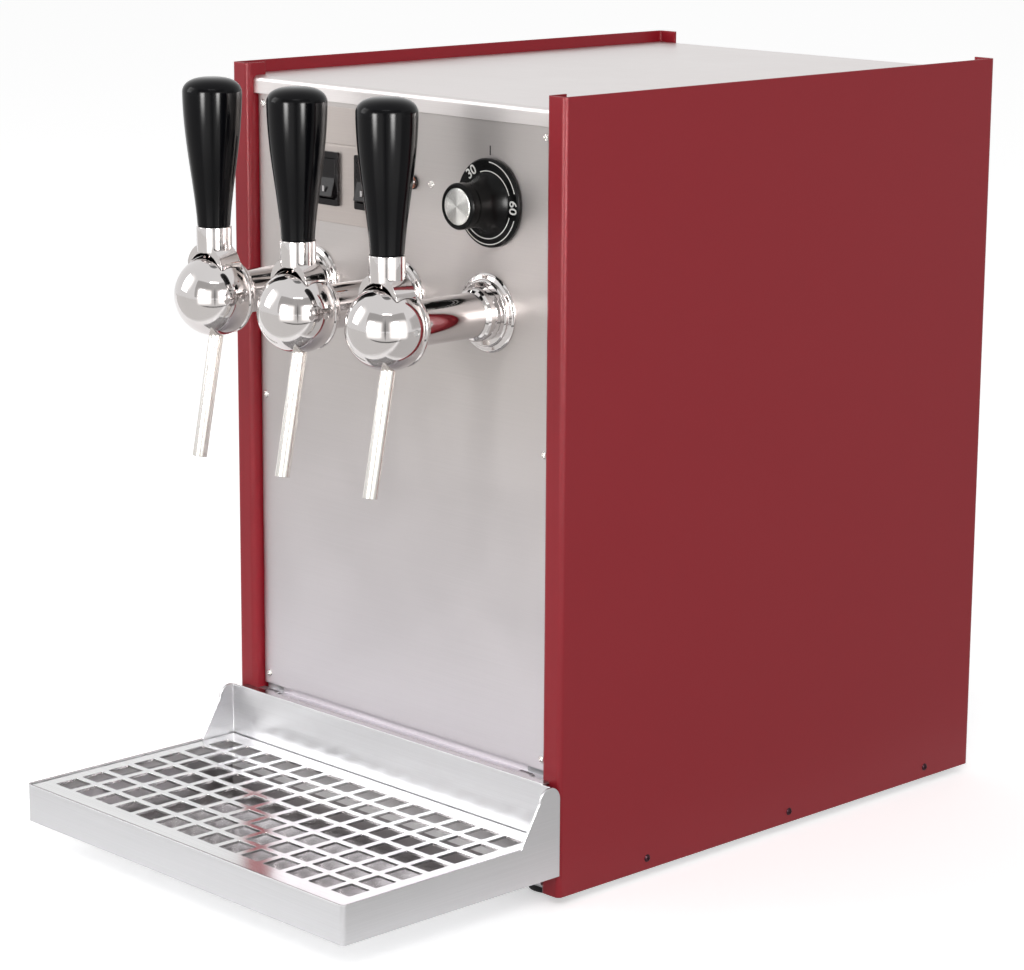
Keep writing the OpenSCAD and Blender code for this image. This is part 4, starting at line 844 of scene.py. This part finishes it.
# Taps: plugs. Turned brass that carries the lever's motion; only the plug's pin shows, as a
# small chromed end in the ball's right side, so the material changes along the pin.
def plug_metal():
    brass, chromed, brass_to, chromed_from = tone(206, 176, 112), tone(214, 213, 212), 19.5, 21.5
    made = finish("plug_metal", brass, 1.0, 0.22)
    from_middle = add(made.node_tree, "ShaderNodeMath", {0: along(made, "X"), 1: PITCH * MM},
        operation="FLOORED_MODULO")
    end = add(made.node_tree, "ShaderNodeMapRange", {0: from_middle.outputs[0],
        "From Min": brass_to * MM, "From Max": chromed_from * MM})
    edges = place_group(made, worn_edge, Radius=0.0003)
    feed(made, Base_Color=blend_tones(made, end.outputs[0], brass, chromed),
        Normal=edges.outputs["Normal"])
    return made


dress(plug_metal(), "tap_plug_1", "tap_plug_2", "tap_plug_3")


# Taps: levers. A chromed casting in one piece: a vault that sits over the ball, open to the
# front under an arch, with a ferrule above it, a tang in the grip and a tongue in the ball.
FOOT_HALF, FOOT_TOP = BALL * 0.68, BALL + 7
ARCH_HALF, ARCH_TOP = BALL * 0.55, BALL + 1.7
FOOT_FRONT, FOOT_BACK, FOOT_WALL, CLEAR = -7.5, RING - 0.5, 2, 0.4
FERRULE_R, FERRULE_LOW, FERRULE_TOP = 10.3, FOOT_TOP - 5, FOOT_TOP + 9.8
TANG_R, TANG, TONGUE_FROM = 4, 34, 3
SLIVER, ROUND_STEPS = 0.00002, 160
UP = (0, 0, 1)


def add_vault(build, centre, half, top, front, back):
    """A round bar along Y with its top at a height, which meets the ball at a half width."""
    low = math.sqrt(BALL ** 2 - half ** 2 - FOOT_FRONT ** 2)
    radius = (half ** 2 + (top - low) ** 2) / (2 * (top - low))
    turn_on_lathe(build, bore(radius, 0, back - front),
        centre + Vector((0, front, top - radius)) * MM, BACKWARDS, ROUND_STEPS)


def without_slivers(piece):
    """Merges what the cuts left narrower than a sliver's width."""
    cleaned = bmesh.new()
    cleaned.from_mesh(piece.data)
    bmesh.ops.remove_doubles(cleaned, verts=cleaned.verts, dist=SLIVER)
    bmesh.ops.dissolve_degenerate(cleaned, edges=cleaned.edges, dist=SLIVER)
    cleaned.to_mesh(piece.data)
    cleaned.free()


leaning = Vector((0, math.sin(math.radians(LEAN)), math.cos(math.radians(LEAN))))
ferrule = softened([(0, FERRULE_LOW), (FERRULE_R, FERRULE_LOW), (FERRULE_R, FERRULE_TOP),
    (TANG_R, FERRULE_TOP), (TANG_R, FERRULE_TOP + TANG), (0, FERRULE_TOP + TANG)], 0.3)
for i, centre in taps.items():
    build = bmesh.new()
    add_vault(build, centre, FOOT_HALF, FOOT_TOP, FOOT_FRONT, FOOT_BACK)
    lever = plain_piece(f"lever_{i}", build, chrome, f"tap_{i}_lever")
    shapes = []
    for operation, outline in (("INTERSECT", bore(FOOT_HALF + 1, 0, FOOT_TOP + 9)),
            ("INTERSECT", ball_arc(180, 0, 80, FOOT_TOP + 0.4)), ("UNION", ferrule),
            ("DIFFERENCE", ball_arc(180, 0, 80, BALL + CLEAR))):
        build = bmesh.new()
        turn_on_lathe(build, outline, centre, UP, ROUND_STEPS)
        shapes.append((operation, build))
    arch, tongue = bmesh.new(), bmesh.new()
    add_vault(arch, centre, ARCH_HALF, ARCH_TOP, FOOT_FRONT - 1, FOOT_BACK - FOOT_WALL)
    turn_on_lathe(tongue, bore(TONGUE - CLEAR, TONGUE_FROM, BALL + 1.6), centre, leaning, 40)
    for operation, build in shapes + [("DIFFERENCE", arch), ("UNION", tongue)]:
        combined(lever, operation, build)
        without_slivers(lever)
    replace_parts(lever, f"tap_lever_{i}")


# Taps: grips. Slim black mouldings, polished, that swell from the ferrule to a rounded head.
# They are pressed and cemented on the levers' tangs.
GRIP, NECK, HEAD, DOME, FOOT_EDGE = 86.8, 9.6, 17.3, 9, 0.6
SOCKET_R, SOCKET, SWELL_STEPS, DOME_STEPS = TANG_R + 0.2, TANG + 0.3, 40, 24


def swell(t):
    """The grip's radius, from its neck at 0 to its head at 1."""
    eased = t * t * (3 - 2 * t)
    return NECK + (HEAD - NECK) * (0.35 * t + 0.65 * eased) + 0.7 * math.sin(math.pi * t)


foot = [(SOCKET_R, 0), (NECK - FOOT_EDGE, 0), (swell(0), FOOT_EDGE)]
side = [(swell(k / SWELL_STEPS), FOOT_EDGE + (GRIP - DOME - FOOT_EDGE) * k / SWELL_STEPS)
    for k in range(1, SWELL_STEPS + 1)]
dome = [(HEAD * math.cos(a) ** 0.75, GRIP - DOME * (1 - math.sin(a) ** 0.9))
    for a in (math.radians(90 * k / DOME_STEPS) for k in range(1, DOME_STEPS))] + [(0, GRIP)]
socket = [(0, SOCKET), (SOCKET_R, SOCKET), (SOCKET_R, 0)]
grip_black = moulded("grip_black", tone(9, 9, 12), 0.14, scale=60.0, depth=0.00004, pale=1.6,
    Specular_IOR_Level=0.13)
for i, centre in taps.items():
    grip = turned_piece(f"grip_{i}", softened(foot, 0.3) + side + dome + socket,
        centre + Vector((0, 0, FERRULE_TOP)) * MM, UP, grip_black, f"tap_{i}_lever")
    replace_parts(grip, f"tap_grip_{i}")


# Taps: spouts. Plain drawn stainless tube, pushed into the ball's underside, leaning forward.
# Its outlet is cut square and only deburred.
OUTLET_LOW, SPOUT_BORE, SPOUT_IN = 94.3, 3.0, 0.3
spout_len = (OUTLET_LOW - SPOUT_SEAT) / math.cos(SPOUT_LEAN)
spout_outline = softened([(SPOUT_BORE, 0), (SPOUT_R, 0), (SPOUT_R, spout_len),
    (SPOUT_BORE, spout_len), (SPOUT_BORE, 0)], 0.25)
spout_steel = satin_steel("spout_steel", tone(206, 203, 199), tone(236, 233, 228), 0.22,
    swim=0.0002, fineness=2200.0, edge=0.0003)
for i, centre in taps.items():
    spout = turned_piece(f"spout_{i}", spout_outline,
        centre + (Vector((0, spout_y, -SPOUT_SEAT)) + spout_way * SPOUT_IN) * MM, spout_way,
        spout_steel, "cabinet", 64)
    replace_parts(spout, f"tap_spout_{i}")


# Drip tray. Satin stainless sheet, folded up and seam welded at its corners, with a back that
# hooks into the sill. Splashes and wiping have left it cloudier than the covers.
def tray_steel_with_floor_shade():
    """The folded sheet; its floor, under the grid, has kept the mill's gloss and is painted darker, a
    painted shade under the grid.
    """
    made = satin_steel("tray_steel", tone(190, 190, 192), tone(205, 205, 207), 0.32, waves=14.0,
        swim=0.0010, fineness=1200.0, edge=0.0009)
    shader, tree = made.node_tree.nodes["Principled BSDF"], made.node_tree
    facing = add(tree, "ShaderNodeSeparateXYZ",
        {0: add(tree, "ShaderNodeNewGeometry").outputs["Normal"]})
    level = add(tree, "ShaderNodeMapRange", {0: facing.outputs["Z"], "From Min": 0.9,
        "From Max": 0.99})
    base, gloss = (shader.inputs[s].links[0].from_socket for s in ("Base Color", "Roughness"))
    # painted shade: what faces up, the floor under the grid, is painted a darker grey
    darker = blend_tones(made, level.outputs[0], base, tone(148, 143, 144))
    glossier = add(tree, "ShaderNodeMix", {0: level.outputs[0], 2: gloss, 3: 0.15},
        data_type="FLOAT")
    feed(made, Base_Color=darker, Roughness=glossier.outputs[0])
    return made


dress(tray_steel_with_floor_shade(), "drip_tray")


# Drip grid. One sheet with rows of punched square holes, its four sides folded down; it stands
# in the tray on its front and back folds, and lifts out for washing.
def perforated_sheet_tree():
    """A flat sheet with rounded square holes, from its size, hole pitch, bar width and counts."""
    tree = bpy.data.node_groups.new("perforated_sheet", "GeometryNodeTree")
    for label, kind in (("Width", "Float"), ("Depth", "Float"), ("Pitch", "Float"),
            ("Bar", "Float"), ("Corner", "Float"), ("Thickness", "Float"), ("Columns", "Int"),
            ("Rows", "Int"), ("Finish", "Material")):
        tree.interface.new_socket(name=label, in_out="INPUT", socket_type="NodeSocket" + kind)
    tree.interface.new_socket(name="Sheet", in_out="OUTPUT", socket_type="NodeSocketGeometry")
    takes = tree.nodes.new("NodeGroupInput").outputs
    gives = tree.nodes.new("NodeGroupOutput")

    def spread(count):
        fewer = add(tree, "ShaderNodeMath", {0: takes[count], 1: 1.0}, operation="SUBTRACT")
        return add(tree, "ShaderNodeMath", {0: fewer.outputs[0], 1: takes["Pitch"]},
            operation="MULTIPLY").outputs[0]

    outside = add(tree, "GeometryNodeCurvePrimitiveQuadrilateral",
        {"Width": takes["Width"], "Height": takes["Depth"]})
    hole = add(tree, "ShaderNodeMath", {0: takes["Pitch"], 1: takes["Bar"]}, operation="SUBTRACT")
    square = add(tree, "GeometryNodeCurvePrimitiveQuadrilateral",
        {"Width": hole.outputs[0], "Height": hole.outputs[0]})
    punch = add(tree, "GeometryNodeFilletCurve", {0: square.outputs[0]}, mode="POLY")
    punch.inputs["Count"].default_value = 3
    tree.links.new(takes["Corner"], punch.inputs["Radius"])
    places = add(tree, "GeometryNodeMeshGrid", {"Size X": spread("Columns"),
        "Size Y": spread("Rows"), "Vertices X": takes["Columns"], "Vertices Y": takes["Rows"]})
    holes = add(tree, "GeometryNodeInstanceOnPoints",
        {"Points": places.outputs["Mesh"], "Instance": punch.outputs[0]})
    outlines = add(tree, "GeometryNodeJoinGeometry")
    tree.links.new(add(tree, "GeometryNodeRealizeInstances", {0: holes.outputs[0]}).outputs[0],
        outlines.inputs[0])
    tree.links.new(outside.outputs[0], outlines.inputs[0])
    face = add(tree, "GeometryNodeFillCurve", {0: outlines.outputs[0]})
    deep = add(tree, "GeometryNodeExtrudeMesh", {"Mesh": face.outputs[0],
        "Offset Scale": takes["Thickness"], "Individual": False})
    under = add(tree, "GeometryNodeFlipFaces", {0: face.outputs[0]})
    whole = add(tree, "GeometryNodeJoinGeometry")
    tree.links.new(deep.outputs[0], whole.inputs[0])
    tree.links.new(under.outputs[0], whole.inputs[0])
    merged = add(tree, "GeometryNodeMergeByDistance", {0: whole.outputs[0], "Distance": 1e-6})
    real = add(tree, "GeometryNodeRealizeInstances", {0: merged.outputs[0]})
    done = add(tree, "GeometryNodeSetMaterial",
        {"Geometry": real.outputs[0], "Material": takes["Finish"]})
    tree.links.new(done.outputs[0], gives.inputs[0])
    return tree


low, high = (Vector(v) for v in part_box("drip_grid"))
GRID_T = 0.0015
grid_steel = satin_steel("grid_steel", tone(205, 205, 206), tone(238, 238, 238), 0.17,
    waves=22.0, swim=0.0004, fineness=900.0, edge=0.0004)
grid = bpy.data.objects.new("drip_grid_sheet", bpy.data.meshes.new("drip_grid_sheet"))
bpy.context.scene.collection.objects.link(grid)
tree = perforated_sheet_tree()
sheet = grid.modifiers.new("perforated_sheet", "NODES")
sheet.node_group = tree
sizes = {"Width": high.x - low.x, "Depth": high.y - low.y, "Pitch": 0.0195, "Bar": 0.004,
    "Corner": 0.0009, "Thickness": GRID_T, "Columns": 14, "Rows": 7, "Finish": grid_steel}
for socket in tree.interface.items_tree:
    if socket.in_out == "INPUT":
        sheet[socket.identifier] = sizes[socket.name]
keep_shape(grid, 30)
centre = Vector(((low.x + high.x) / 2, (low.y + high.y) / 2, high.z - GRID_T))
build = bmesh.new()
build.from_mesh(grid.data)
bmesh.ops.translate(build, verts=build.verts, vec=centre)
FOLD_T, SIDE_FOLD = 0.0012, 0.008
for a, b in ((low.y, low.y + FOLD_T), (high.y - FOLD_T, high.y)):
    add_block(build, Vector((low.x, a, low.z)), Vector((high.x, b, high.z - GRID_T / 2)))
for a, b in ((low.x, low.x + FOLD_T), (high.x - FOLD_T, high.x)):
    add_block(build, Vector((a, low.y + FOLD_T, high.z - SIDE_FOLD)),
        Vector((b, high.y - FOLD_T, high.z - GRID_T / 2)))
build.to_mesh(grid.data)
build.free()
grid.data.set_sharp_from_angle(angle=math.radians(30))
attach(grid, "drip_grid")
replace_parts(grid, "drip_grid")
